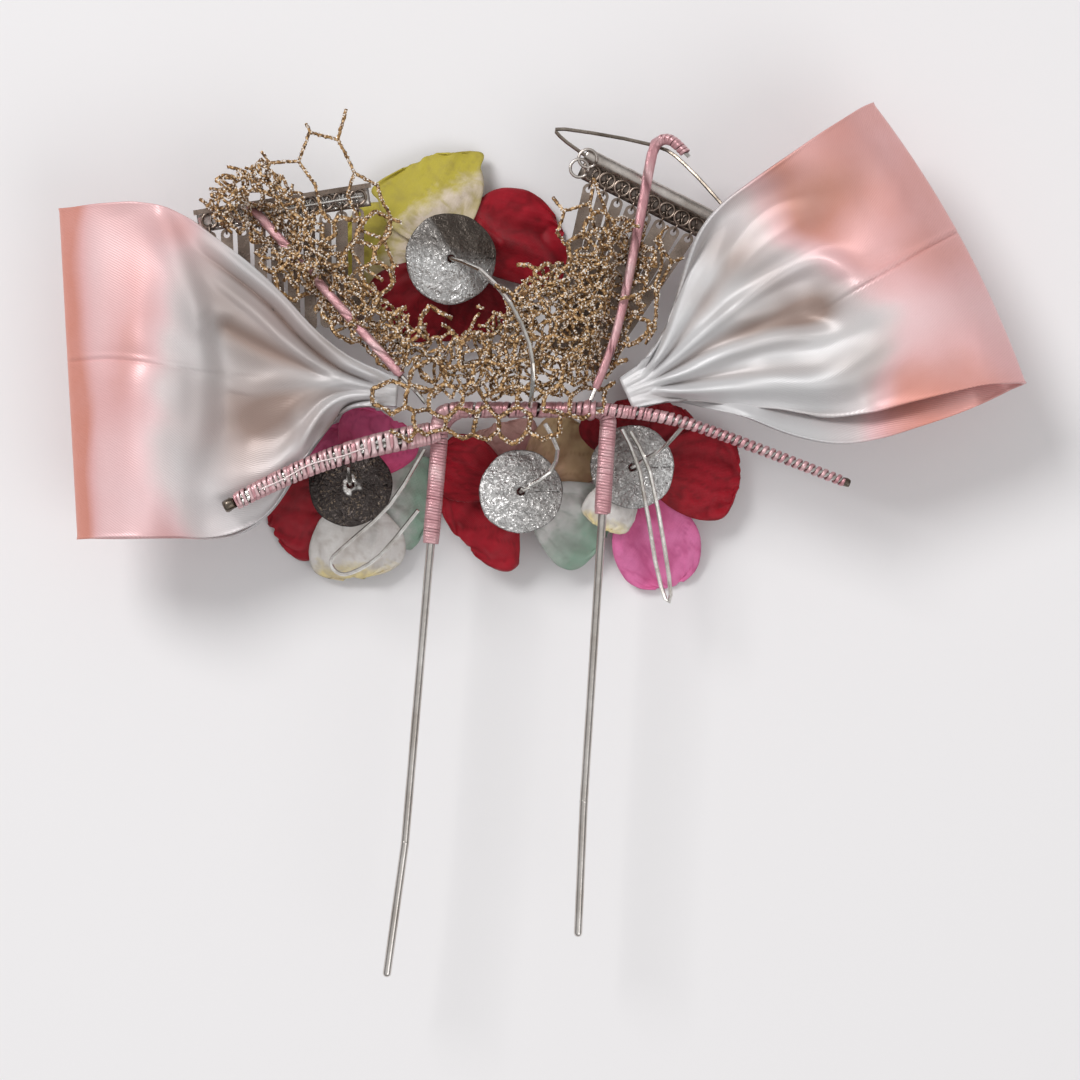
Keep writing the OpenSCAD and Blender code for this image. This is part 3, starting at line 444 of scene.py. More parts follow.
def bow_loop(side, sections, dents, length, skew, swell, gather, turn, mirror, lines, border, dye_levels,
             blotches, lip, seed):
    """A loop of ribbon, from its gather to its fold and back. dye_levels are the main dye, the fold's, which
    is partly painted shade, and how far the fold's reaches, and lip is how far the lower layer's selvedge
    turns up."""
    across = np.linspace(-1, 1, BOW_ACROSS)
    last = len(sections) - 1
    order = [(i, 1) for i in range(last + 1)] + [(i, -1) for i in range(last - 1, -1, -1)]
    grid = spline([loop_row(sections[i], dents, layer, across, length, skew, swell) for i, layer in order],
                  BOW_STEPS)
    along = spline([[sections[i][0], layer] for i, layer in order], BOW_STEPS)
    place, layer = [along[:, k][:, None] + 0 * across[None] for k in (0, 1)]
    wide = across[None] + 0 * place
    upper = ease(-0.3, 0.9, layer)
    x, y = grid[..., 0].copy(), mirror * grid[..., 1]
    way, left = toward(turn), toward(turn + 90)
    grid[..., :2] = gather + x[..., None] * way + y[..., None] * left
    # Folds as the photograph shows them on the upper layer, and fine pleats at the gather
    folds = sum(line_height(grid[..., 0], grid[..., 1], *line) for line in lines)
    fine = 0.16 * np.sin(TURN * (3.6 * wide + 0.9 * np.sin(2.2 * place + wide) + 0.1 * seed)) \
        * np.exp(-place * 6.0)
    soft = 0.13 * waves((place * 3.2, wide * 1.1), seed, 1.6, 2) * ease(0.02, 0.2, place)
    rolled = lip * ease(0.35, 0.93, -wide) * ease(0.1, 0.3, place) * (1 - ease(0.84, 0.97, place)) \
        * (1 - upper)
    grid[..., 2] += LOOP_Z + folds * upper + rolled \
        + (fine + soft) * np.minimum(place * 6, 1) * np.sign(layer + 0.001)
    # The dye ends along a soft border, and the fold is dyed deeper, which is partly painted shade where the
    # ribbon turns over
    edge = px(border) - gather
    order = np.argsort(edge @ left)
    limit = np.interp(y, (edge @ left)[order], (edge @ way)[order])
    limit = limit + 1.6 * waves((wide * 2, place * 2), seed + 3, 1.2, 2)
    main, deep, reach = dye_levels
    blush = 0.14 * waves((wide * 1.2, place * 2.4), seed + 4, 1.3, 2)
    dye = ease(-6.5, 5.5, x - limit) * (main + blush) + deep * (1 - ease(0.8, reach, (1 - place) * length))
    dye = dye + 0.12 * ease(-16, -4, x - limit)
    # Painted shade: the valleys of the folds and the blotches below darken the upper layer towards taupe.
    worn = np.clip(-folds * 0.27, 0, 0.5) * upper * (1 - 0.6 * ease(-4, 6, x - limit))
    for spot, size, taupe, salmon in blotches:
        near = np.exp(-np.sum((grid[..., :2] - px([spot])[0]) ** 2, axis=-1) / (size * PX) ** 2) * upper
        worn, dye = worn + taupe * near, dye + salmon * near
    run = np.concatenate([[0], np.cumsum(np.linalg.norm(np.diff(grid[:, BOW_ACROSS // 2], axis=0), axis=1))])
    shape = Shape()
    shape.sheet(grid, SATIN_WALL + HEM_WALL * np.exp(-((1 - np.abs(wide)) / HEM_SHARE) ** 2),
                dye=np.clip(dye, 0, 1), worn=np.clip(worn, 0, 0.85),
                u=run[:, None] + 0 * wide, v=wide * RIBBON / 2)
    piece = shape.make(side + "_bow_satin", SATIN, "satin", side + "_bow_loop")


# Columns: pixels of the line from the gather outwards, half widths and heights at its two ends
LEFT_LINES = [
    ([(390, 384), (345, 362), (311, 334), (279, 299), (233, 262), (195, 234)], (0.9, 1.2), (2.3, 1.8)),
    ([(385, 388), (338, 368), (303, 341), (270, 306), (228, 272), (196, 250)], (0.6, 0.8), (-2.1, -1.5)),
    ([(384, 389), (330, 374), (292, 346), (258, 314), (225, 288), (200, 268)], (0.7, 1.2), (1.5, 1.0)),
    ([(383, 389), (341, 378), (301, 364), (269, 350), (225, 326), (205, 312)], (0.7, 2.2), (-0.9, -1.3)),
    ([(384, 390), (360, 386), (325, 380), (292, 379), (262, 383), (236, 392)], (0.8, 2.2), (1.5, 0.5)),
    ([(386, 394), (350, 392), (318, 396), (285, 404), (255, 414), (232, 420)], (0.8, 4.2), (-1.2, -1.5)),
    ([(388, 396), (352, 396), (328, 406), (312, 428), (303, 452), (298, 474)], (0.8, 1.1), (2.2, 2.0)),
    ([(380, 400), (350, 404), (334, 420), (322, 440), (314, 458)], (0.45, 0.6), (-2.0, -1.8)),
    ([(384, 402), (358, 408), (344, 424), (333, 444), (324, 462)], (0.7, 0.9), (1.8, 1.7)),
    ([(158, 200), (170, 232), (186, 272), (201, 322), (208, 372), (207, 415), (200, 450), (190, 480)],
     (2.6, 2.8), (2.1, 1.7)),
    ([(330, 376), (290, 362), (255, 346), (226, 334), (215, 322)], (2.0, 5.0), (-0.4, -0.9)),
    ([(300, 424), (262, 432), (232, 420), (222, 396), (226, 380)], (3.6, 4.6), (-0.8, -1.0)),
    ([(62, 362), (100, 360), (125, 361), (165, 367), (205, 373), (270, 378)], (0.32, 0.32), (-0.45, -0.3)),
    ([(62, 359), (100, 357), (125, 358), (165, 364), (205, 370), (270, 375)], (0.4, 0.4), (0.3, 0.2)),
    ([(128, 206), (133, 260), (131, 330), (128, 400)], (4.0, 4.0), (-0.5, -0.4))]
RIGHT_LINES = [
    ([(640, 372), (655, 340), (667, 300), (683, 262), (706, 222), (735, 185)], (0.6, 0.9), (1.3, 0.8)),
    ([(642, 374), (660, 342), (675, 302), (692, 262), (716, 224)], (0.5, 0.7), (-1.4, -0.9)),
    ([(643, 376), (662, 350), (682, 312), (700, 275), (722, 240), (745, 216), (772, 200)],
     (0.7, 2.6), (1.7, 1.1)),
    ([(645, 378), (668, 355), (692, 322), (715, 290), (738, 258), (765, 236)], (0.5, 2.4), (-1.4, -0.9)),
    ([(646, 380), (675, 360), (712, 326), (745, 300), (785, 276), (818, 264), (846, 277), (860, 300)],
     (0.7, 2.6), (1.9, 1.8)),
    ([(648, 383), (690, 358), (735, 336), (776, 322), (812, 314), (846, 316)], (0.6, 3.6), (-1.6, -2.4)),
    ([(650, 386), (690, 372), (732, 354), (785, 340), (829, 334), (866, 318)], (0.6, 2.6), (1.6, 1.2)),
    ([(650, 388), (700, 380), (760, 372), (810, 368), (850, 356)], (0.5, 2.6), (-1.3, -0.8)),
    ([(650, 391), (700, 392), (760, 392), (820, 392), (880, 382)], (0.6, 2.8), (1.5, 0.9)),
    ([(645, 394), (700, 402), (760, 411), (820, 416), (870, 416)], (0.5, 1.2), (-1.3, -0.9)),
    ([(966, 226), (955, 233), (925, 250), (895, 268), (850, 294), (815, 316)], (0.32, 0.32), (-0.5, -0.4)),
    ([(964, 223), (953, 230), (923, 247), (893, 265), (848, 291), (813, 313)], (0.4, 0.4), (0.34, 0.25)),
    ([(720, 226), (770, 204), (807, 194), (860, 184), (900, 190)], (4.5, 6.0), (-0.9, -1.3)),
    ([(860, 400), (900, 378), (940, 360), (980, 352)], (4.0, 5.0), (-0.8, -0.8))]
LEFT_BORDER = [(196, 200), (182, 232), (166, 270), (158, 310), (150, 362), (154, 430), (163, 480),
               (178, 520), (190, 545)]
RIGHT_BORDER = [(745, 172), (762, 200), (788, 238), (826, 262), (854, 282), (880, 312), (888, 352),
                (880, 388), (864, 440)]
# Columns: pixel of the middle, radius in pixels, how much painted shade darkens the satin there, and how much
# more dye it took;
# the salmon added in the right loop's hollows is painted shade too
LEFT_BLOTCHES = [
    ((226, 300), 30, 0.42, 0.05), ((275, 325), 40, 0.34, 0.1), ((238, 425), 44, 0.4, 0.1),
    ((290, 405), 36, 0.34, 0.05), ((328, 352), 28, 0.36, 0.0), ((206, 262), 26, 0.26, 0.2),
    ((190, 232), 18, 0.12, 0.3), ((255, 372), 40, 0.18, 0.0), ((330, 432), 16, 0.34, 0.0),
    ((250, 470), 30, 0.3, 0.1), ((140, 275), 22, 0.0, 0.12), ((225, 360), 60, 0.12, 0.0)]
RIGHT_BLOTCHES = [
    ((818, 306), 24, 0.62, 0.0), ((790, 318), 23, 0.38, 0.0), ((748, 326), 26, 0.3, 0.0),
    ((826, 192), 36, 0.22, 0.2), ((798, 216), 30, 0.3, 0.2), ((938, 366), 46, 0.02, 0.09),
    ((870, 352), 26, 0.32, -0.1), ((845, 372), 20, 0.24, -0.1), ((765, 178), 28, 0.16, 0.15),
    ((842, 128), 34, 0.0, 0.06), ((905, 330), 40, 0.0, -0.16), ((716, 250), 24, 0.35, 0.0),
    ((745, 262), 28, 0.3, 0.0), ((772, 288), 20, 0.24, 0.0), ((862, 290), 18, 0.14, 0.0),
    ((700, 300), 16, 0.24, 0.0)]
bow_loop("left", LEFT_SECTIONS, LEFT_DENTS, 62.5, 4.4, 0.0, BAR_LEFT + [-8, 3.4], 175, -1, LEFT_LINES,
         LEFT_BORDER, (0.56, 0.5, 6.5), LEFT_BLOTCHES, 0.0, 11)
bow_loop("right", RIGHT_SECTIONS, RIGHT_DENTS, 70.0, -1.8, 2.4, BAR_RIGHT + [3.2, 3.4], 25.3, 1, RIGHT_LINES,
         RIGHT_BORDER, (0.68, 0.0, 3.0), RIGHT_BLOTCHES, 9.5, 23)


# Wound silk thread. The power makes its turns oblong
FLOSS_WALL, OBLONG = 0.12, 0.75


def path_at(points, z):
    points = np.asarray(points, float)
    return np.concatenate([points, np.full((len(points), 1), z)], axis=1)


def winding(shape, path, half_wide, half_tall, pitch, cover, seed, ragged, lift=0.10, slot=0.0, per_turn=26):
    """One flat bundle of thread wound round an oblong core along a path. The core's half width and height
    are a number, a pair for its two ends, or a function of the share of its length. cover is the share of
    the pitch that the bundle covers, so what is below shows between its turns, and slot makes the bundle
    narrower on top."""
    draw = np.random.default_rng(seed)
    path, run = resample(path, 0.25)
    side, over = frames(path)
    turns = run[-1] / pitch
    phase = np.linspace(0, turns, int(turns * per_turn))
    whole = np.arange(int(turns) + 2)
    wobble = np.interp(phase, whole, draw.normal(0, ragged, len(whole)))
    width = pitch * cover * (1 + np.interp(phase, whole, draw.normal(0, 0.10, len(whole))))
    width = width * (1 - slot * np.maximum(np.sin(phase * TURN), 0) ** 3)
    centre = np.clip((phase + wobble) * pitch, 0, run[-1])
    across = np.linspace(-0.5, 0.5, 5)
    at = np.clip(centre[:, None] + width[:, None] * across[None], 0, run[-1])
    angle = (phase * TURN)[:, None] + 0 * across[None]
    spine, s, o = [np.stack([np.interp(at, run, row[:, k]) for k in range(3)], axis=-1)
                   for row in (path, side, over)]
    t = at / run[-1]
    grow_wide, grow_tall = [mix(*h, t) if isinstance(h, tuple) else h(t) if callable(h) else h
                            for h in (half_wide, half_tall)]
    dome = lift * (1 - (2 * np.abs(across)) ** 2.4)[None] - lift
    c, d = np.cos(angle), np.sin(angle)
    grid = spine + s * (np.sign(c) * np.abs(c) ** OBLONG * (grow_wide + dome))[..., None] \
        + o * (np.sign(d) * np.abs(d) ** OBLONG * (grow_tall + dome))[..., None]
    pale = np.maximum(d, 0) ** 2 * slot
    shape.sheet(grid, FLOSS_WALL, u=phase[:, None] * 8 + 0 * across[None],
                v=width[:, None] * across[None] + 0.37 * seed, shade=across[None] + 0 * at, pale=pale)


def strand_along(shape, path, side_by, over_by, radius, seed):
    """A loose end of the thread that runs along the wrap."""
    draw = np.random.default_rng(seed)
    path, run = resample(path, 0.6)
    side, over = frames(path)
    t = np.linspace(0, 1, len(path))
    sway = side_by + 0.35 * np.sin(t * 9 + draw.uniform(0, TURN)) * np.sin(math.pi * t)
    shape.tube(path + side * sway[:, None] + over * over_by, radius, sides=6, u=t * 40, v=run, pale=0.8)


def wrap_piece(name, stands_for, *jobs, along=()):
    """A piece of wound thread. Each job has winding's columns, and each in along has strand_along's."""
    shape = Shape()
    for job in jobs:
        winding(shape, *job)
    for job in along:
        strand_along(shape, *job)
    shape.make(name, THREAD_WOUND, "pink_thread", stands_for)


def wound_material():
    """Glossy silk floss in flat bundles, darker where one turn meets the next."""
    n = Nodes("wound_thread", Metallic=0.5, Roughness=0.28, Sheen_Weight=0.15, Sheen_Roughness=0.35,
              Specular_IOR_Level=0.6)
    stretched = n.node("Mapping", {"Vector": n.cloth(), "Scale": (0.10, 11.0, 1.0)}).outputs["Vector"]
    fibre = n.noise(1.6, 3.0, 0.6, vector=stretched)
    edge = n.math("ABSOLUTE", n.value("shade"))
    colour = n.ramp(n.noise(210, 4.0, 0.6), (0.30, (200, 142, 148)), (0.52, (222, 174, 178)),
                    (0.74, (244, 214, 214)))
    colour = n.blend(n.fit(fibre, 0.3, 0.7, 0.6, 0.0), colour, (168, 108, 116))
    colour = n.blend(n.fit(edge, 0.36, 0.5, 0.0, 0.6), colour, (140, 86, 92))
    n.to("Base Color", n.blend(n.value("pale"), colour, (240, 228, 226)))
    n.to("Normal", n.bump(fibre, 0.6, 0.00009))
    return n.material


THREAD_WOUND = wound_material()
LEFT_ROOT, RIGHT_ROOT = BAR_LEFT - [0, 5], BAR_RIGHT - [0, 2.4]
ARM_Z = PIN_Z + 2.8


def prong_core(t):
    return mix(1.5, 1.55, ease(0, 0.04, t)) * mix(1, 0.93, ease(0.9, 1.0, t))


def bend_path(centre, radius, first, last):
    turn = np.radians(np.linspace(first, last, 12))
    ring = [centre[0] + radius * np.cos(turn), centre[1] + radius * np.sin(turn)]
    return path_at(np.stack(ring, axis=1), PIN_Z)


def bar_half(wide, knob):
    return lambda t: wide + knob * np.exp(-((t - 0.965) / 0.05) ** 2)


for side, root, way, reach, seed in (("left", LEFT_ROOT, toward(-94.9), 20.4, 3),
                                     ("right", RIGHT_ROOT, toward(-93.7), 17.4, 4)):
    wrap_piece(side + "_prong_thread", side + "_prong_wrap",
               (path_at([root + 0.4 * way, root + reach * way], PIN_Z),
                prong_core, prong_core, 0.56, 1.06, seed, 0.08, 0.05))
wrap_piece("corner_thread", None,
           (bend_path(LEFT_ROOT + [5, 0], 5, 183, 104), 1.5, 1.5, 0.9, 1.1, 21, 0.15),
           (path_at(spline([[-19.4, 20.2], [-19.5, 22.4], [-18.6, 24.0], [-15.6, 24.6]], 5), ARM_Z),
            1.55, 1.3, 0.9, 1.1, 23, 0.15),
           (bend_path(RIGHT_ROOT - [2.4, 0], 2.4, -14, 90), 1.55, 1.6, 0.8, 1.15, 22, 0.12))
bar_path = path_at([[-16.0, 24.6], [10.1, 24.6]], (PIN_Z + ARM_Z) / 2)
wrap_piece("bar_thread", "bar_wrap",
           (bar_path, bar_half(1.52, 0.5), bar_half(2.92, 0.3), 1.7, 0.62, 5, 0.16),
           (bar_path, bar_half(1.48, 0.4), bar_half(2.88, 0.25), 1.1, 0.55, 15, 0.25),
           (bar_path[::-1], 1.45, 2.85, 4.6, 0.42, 25, 0.2))
ARM_TURN, ARM_BULGE, ARM_REACH, WIRE_RADIUS, WIRE_BESIDE = 198.9, 1.9, 40.9, 0.55, 0.6
arm_bend = BAR_LEFT + [-2, -4.9]
left_arm_way = toward(ARM_TURN)
left_arm_start = arm_bend - 2.2 * left_arm_way


def arm_path(first, last):
    """The left arm between two distances from where its thread begins: it arches a little."""
    at = np.linspace(first, last, 24)[:, None]
    arch = ARM_BULGE * np.sin(math.pi * np.clip(at / ARM_REACH, 0, 1))
    return path_at(left_arm_start + at * left_arm_way + arch * toward(ARM_TURN - 90), ARM_Z)


wrap_piece("left_arm_thread", "left_arm_wrap",
           (arm_path(0, 6), lambda t: mix(1.7, 2.15, ease(0, 0.4, t)), 1.32, 0.7, 1.1, 6, 0.12),
           (arm_path(5, 17), (2.2, 2.05), 1.32, 1.48, 1.0, 16, 0.07, 0.10, 0.5),
           (arm_path(17, ARM_REACH), (2.05, 1.55), 1.3, 1.15, 0.86, 26, 0.16, 0.10, 0.35),
           (arm_path(ARM_REACH, 4), (1.5, 2.1), 1.24, 3.4, 0.3, 36, 0.3),
           along=[(arm_path(14, ARM_REACH - 5), -0.1, 1.34, 0.18, 1)])
core = Shape()
core_route = np.concatenate([arm_path(ARM_REACH + 0.8, 2.2)[:, :2], spline([
    arm_bend, BAR_LEFT + [1.2, -1.6], BAR_LEFT + [3.6, 0], [-7.5, 24.6]], 6)[1:]])
for beside in (-1, 1):
    core.tube(path_at(core_route + [0, beside * WIRE_BESIDE], ARM_Z), WIRE_RADIUS, sides=10)
core.make("left_arm_cores", WIRE, "silver_wire", "left_arm_wires")
right_arm_points = spline([[1.5, 24.6], [10, 24.6], [13.5, 24.4], [28.1, 21.8], [57.14, 10.94]], 6)
right_arm_path = path_at([p for p in right_arm_points if p[0] > 11.5], ARM_Z)
wrap_piece("right_arm_thread", "right_arm_wrap",
           (right_arm_path, (1.22, 0.98), 1.2, 1.35, 0.55, 7, 0.08),
           (right_arm_path[: int(len(right_arm_path) * 0.55)], 1.2, 1.18, 0.95, 0.5, 17, 0.2))
# Reach and half width of a cut end, in radii of its arm
CUT_END = np.array([[-0.6, 0.86], [0.0, 1.0], [0.5, 1.04], [1.0, 1.0], [1.35, 0.86], [1.45, 0.66],
                    [1.25, 0.5], [0.7, 0.42], [0.2, 0.12]])


def cut_end(name, place, way, radius, seed):
    """The rough dark end of an arm, where its wires are snipped off."""
    sides, row = 24, 25
    side, up, ahead = np.array([[-way[1], way[0], 0.0], [0.0, 0.0, 1.0], [way[0], way[1], 0.0]])
    turn = np.linspace(0, TURN, row)[None] + np.zeros((len(CUT_END), 1))
    reach, wide = [CUT_END[:, k][:, None] * radius for k in (0, 1)]
    lump = 1 + 0.14 * waves((np.cos(turn), np.sin(turn), reach), seed, 1.4, 3)
    grid = place + (reach + 0 * turn)[..., None] * ahead + (wide * lump * np.cos(turn))[..., None] * side \
        + (wide * lump * np.sin(turn))[..., None] * up
    last = (len(CUT_END) - 1) * row
    faces = [[i + k, i + k + 1, i + row + k + 1, i + row + k]
             for i in range(0, last, row) for k in range(sides)]
    shape = Shape()
    shape.add(grid, faces + [list(range(sides - 1, -1, -1)), list(range(last, last + sides))])
    shape.make(name, DARK_WIRE, "silver_wire", welded=True)


arm_tip = arm_path(ARM_REACH - 1, ARM_REACH)
cut_way = unit(arm_tip[-1] - arm_tip[0])[:2]
left_tip = np.append(left_arm_start + ARM_REACH * left_arm_way, ARM_Z) + 0.8 * np.append(cut_way, 0)
cut_end("left_arm_cut", left_tip, cut_way, 1.15, 61)
cut_end("right_arm_cut", np.append(right_arm_points[-1], ARM_Z),
        unit(right_arm_points[-1] - right_arm_points[-2]), 0.8, 62)
left_support = np.array([[-26.7, 31.0, 24.8], [-56.0, 64.0, 17.6]])
wrap_piece("left_support_thread", "left_support_wrap",
           (left_support, 0.85, 0.8, 9.0, 1.14, 8, 0.01, 0.02, 0.0, 60))
right_support_points = spline([[9.1, 26.425, 24.6], [14.1, 39.6, 24], [18.5, 60.6, 19.5], [20.9, 73.6, 18.6],
                               [22.1, 75.8, 19], [24.5, 76.0, 20.6], [27.9, 72.8, 21.6]], 4)
wrap_piece("right_support_thread", "right_support_wrap",
           (right_support_points[1:-5], (0.72, 1.0), 0.9, 11.0, 1.14, 9, 0.01, 0.02, 0.0, 60),
           (right_support_points[-8:-1], (1.05, 0.9), 0.95, 0.8, 0.9, 19, 0.15, 0.08))


# Flowers. Columns: place, the disc's tilt in degrees, how far the petals droop, and the longest petal
FLOWERS = {
    "top": (BAR_LEFT + [2, 29.2], (4, 5), 12.55, 22),
    "left": (BAR_LEFT + [-17.3, -14.1], (-5, 3), 12.08, 18),
    "centre": (BAR_LEFT + [15.3, -15.4], (-3, -3), 10.2, 18.5),
    "right": (BAR_LEFT + [36.7, -10.8], (4, -3), 12.64, 24)}
DISC_Z, PETAL_DROP, PETAL_TIER, PETAL_ROOT, PETAL_WALL = 16.0, 2.2, 1.7, 1.85, 0.26
PETAL_SPREAD, FLOOR_GAP = math.tan(math.radians(48)), 0.2


def petal_material(name, base, tip, shade, start, end):
    """Thin dyed silk: the dye bleeds between two colours, over a fine plain weave and creases,
    with painted shade in the creases and at the edges.
    """
    n = Nodes(name, Roughness=0.48, Sheen_Weight=0.1, Sheen_Roughness=0.4, Specular_IOR_Level=0.28)
    uneven = n.fit(n.noise(240, 5.0, 0.6, distortion=0.3), 0.3, 0.7, -0.12, 0.12)
    bleed = n.math("ADD", n.value("reach"), uneven)
    colour = n.blend(n.fit(bleed, start, end), base, tip)
    colour = n.blend(n.fit(n.noise(520, 4.0, 0.6), 0.4, 0.7, 0.0, 0.3), colour, shade)
    # Painted shade: the creases, the hollows of the crumple and the side edges darken towards the shade
    # colour.
    colour = n.blend(n.fit(n.value("crease"), 0.0, 1.0, 0.0, 0.65), colour, shade)
    cloth = n.cloth()
    threads = [n.node("TexWave", {"Vector": cloth, "Scale": 1.15, "Distortion": 0.8, "Detail": 2.0},
                      bands_direction=way).outputs["Fac"] for way in ("X", "Y")]
    weave = n.math("MULTIPLY", *threads)
    n.to("Base Color", n.blend(n.fit(weave, 0.0, 1.0, 0.22, 0.0), colour, shade))
    n.to("Normal", n.bump(weave, 0.4, 0.00014, n.bump(n.noise(420, 4.0, 0.6), 0.35, 0.00025)))
    return n.material


# Columns: silk, its slot in the record, the dye's base, tip and shade, and where the tip's begins and is full
SILKS = {silk: (slot, petal_material("petal_" + silk, *dye)) for silk, slot, *dye in (
    ("yellow", "petal_yellow", (226, 210, 198), (192, 178, 64), (164, 148, 74), 0.42, 0.66),
    ("red", "petal_red", (156, 12, 28), (184, 24, 44), (104, 8, 18), 0.1, 0.7),
    ("dark_red", "petal_dark_red", (124, 10, 22), (156, 18, 34), (84, 6, 14), 0.1, 0.8),
    ("pink", "petal_pink", (218, 92, 140), (246, 138, 192), (196, 78, 130), 0.2, 0.6),
    ("mauve", "petal_pink", (228, 88, 134), (248, 112, 166), (184, 64, 104), 0.25, 0.75),
    ("white", "petal_white", (238, 234, 231), (232, 214, 150), (190, 180, 172), 0.78, 0.98),
    ("green", "petal_white", (226, 222, 220), (146, 178, 158), (150, 158, 148), 0.4, 0.8),
    ("tan", "petal_yellow", (214, 174, 146), (222, 196, 148), (166, 128, 98), 0.3, 0.8),
    ("frayed", "petal_mauve", (190, 130, 130), (214, 168, 158), (140, 94, 90), 0.4, 0.8))}
# Columns: direction, length, width, tier, curl, silk, side roll, slant of the dye, fullness of the tip,
# sideways lean, and creases as start and end along and across, half width, height
PETALS = {
    "top": [
        (108, 21, 21, 0, 1.6, "yellow", 1.2, 0.16, 0.5, -0.04,
         [(0.45, 0.95, 0.62, -0.9, 1.3, 1.0), (0.2, 0.7, 0.42, -0.8, 1.6, -0.9),
          (0.7, -0.2, 1.0, -0.7, 1.0, 0.6)]),
        (168, 22, 18, 1, 1.2, "yellow", 1.2, -0.1, 0.1, 0.05,
         [(0.2, 0.0, 0.95, 0.15, 1.0, 0.7), (0.3, -0.6, 0.8, -0.5, 1.4, -0.7)]),
        (26, 22, 21, 1, 1.4, "red", 2.2, 0.0, 0.1, -0.2,
         [(0.30, 0.75, 0.48, -0.10, 1.1, 1.3), (0.48, -0.10, 0.75, -0.75, 1.2, 1.1),
          (0.5, 0.4, 0.8, -0.2, 1.8, -1.0), (0.85, -0.9, 0.8, -0.3, 0.9, -0.8)]),
        (224, 17, 16, 0, 0.8, "dark_red", 0.8, 0.0, 0.1, 0.0, [(0.3, 0.0, 0.9, 0.2, 1.0, 0.6)]),
        (282, 15, 18, 1, 0.6, "dark_red", 0.8, 0.0, 0.0, 0.0, [(0.4, 0.4, 0.9, 0.3, 1.0, 0.6)])],
    "left": [
        (205, 18, 18, 1, 0.8, "red", 0.8, 0.0, 0.0, 0.06,
         [(0.2, 0.3, 0.95, 0.55, 0.9, 0.7), (0.4, -0.4, 0.9, -0.1, 1.5, -0.7)]),
        (275, 18, 19, 0, 1.2, "white", 1.6, -0.05, 0.0, -0.04,
         [(0.3, 0.55, 0.95, 0.2, 0.8, 0.9), (0.35, 0.2, 0.9, -0.5, 1.3, -0.8),
          (0.5, -0.7, 0.9, -0.6, 0.8, 0.7)]),
        (345, 16, 18, 1, 0.8, "green", 1.4, 0.12, 0.2, 0.0,
         [(0.3, -0.2, 0.95, -0.4, 1.0, 0.8), (0.35, 0.4, 0.9, 0.3, 1.2, -0.7)]),
        (62, 15, 16, 0, 0.8, "mauve", 1.0, 0.0, 0.1, 0.0, [(0.3, 0.1, 0.95, 0.0, 1.1, 0.7)]),
        (128, 12, 14, 2, 0.6, "mauve", 0.6, 0.0, 0.0, 0.0, [(0.3, 0.0, 0.9, 0.1, 1.0, 0.5)])],
    "centre": [
        (158, 17.5, 13, 0, 0.8, "red", 0.8, 0.0, 0.1, 0.0, [(0.3, -0.2, 0.95, -0.1, 0.9, 0.7)]),
        (222, 14.8, 21, 1, 0.8, "red", 0.8, 0.0, -0.1, 0.0,
         [(0.3, 0.3, 0.95, 0.5, 1.0, 0.8), (0.4, -0.4, 0.95, -0.3, 1.4, -0.8),
          (0.5, -0.8, 0.9, -0.7, 0.8, 0.6)]),
        (330, 18.5, 17, 0, 1.2, "green", 1.6, -0.05, 0.1, 0.0,
         [(0.32, 0.7, 0.40, -0.7, 1.2, 1.3), (0.5, 0.3, 0.8, 0.45, 1.0, 0.8),
          (0.55, -0.5, 0.9, -0.4, 1.6, -0.8)]),
        (42, 17.5, 15, 1, 1.0, "tan", 1.8, 0.0, 0.3, 0.0,
         [(0.3, 0.5, 0.95, 0.6, 0.8, 1.2), (0.35, 0.0, 0.95, 0.1, 1.3, -1.0)]),
        (112, 14, 15, 2, 0.8, "frayed", 0.8, 0.0, 0.2, 0.0, [(0.4, 0.2, 0.95, 0.3, 1.0, 0.6)])],
    "right": [
        (356, 21, 18, 0, 1.4, "red", 1.0, 0.0, 0.1, -0.02,
         [(0.3, -0.1, 0.95, -0.5, 1.0, 0.9), (0.4, 0.4, 0.9, 0.3, 1.7, -0.9),
          (0.6, -0.9, 0.95, -0.6, 0.9, -0.6)]),
        (58, 15, 16, 1, 0.8, "dark_red", 0.6, 0.0, 0.0, 0.0, []),
        (112, 13, 14, 0, 0.8, "dark_red", 0.6, 0.0, 0.0, 0.0, []),
        (242, 13, 10.2, 0, 0.6, "white", 0.8, 0.0, 0.2, 0.0, []),
        (287, 24, 17, 1, 1.2, "pink", 2.0, 0.0, 0.0, 0.04,
         [(0.42, -0.5, 0.62, -0.75, 0.8, 1.0), (0.45, 0.1, 0.95, 0.1, 1.2, 0.8),
          (0.5, -0.3, 0.9, -0.35, 1.3, -0.9), (0.72, 0.75, 0.95, 0.6, 1.0, 0.7)])]}
# Columns: share of the length and of the half width
OUTLINE = np.array([[0.00, 0.24], [0.16, 0.52], [0.34, 0.78], [0.52, 0.95], [0.70, 1.00], [0.85, 0.90],
                    [0.95, 0.66], [1.00, 0.34]])


def crease_height(out, side, length, width, start, first, end, last, half, tall):
    """Height of one crease between two places of a petal."""
    a, b = np.array([start * length, first * width / 2]), np.array([end * length, last * width / 2])
    way = b - a
    t = np.clip(((out - a[0]) * way[0] + (side - a[1]) * way[1]) / (way @ way), 0, 1)
    away = np.hypot(out - a[0] - t * way[0], side - a[1] - t * way[1])
    return tall * np.exp(-(away / half) ** 2)


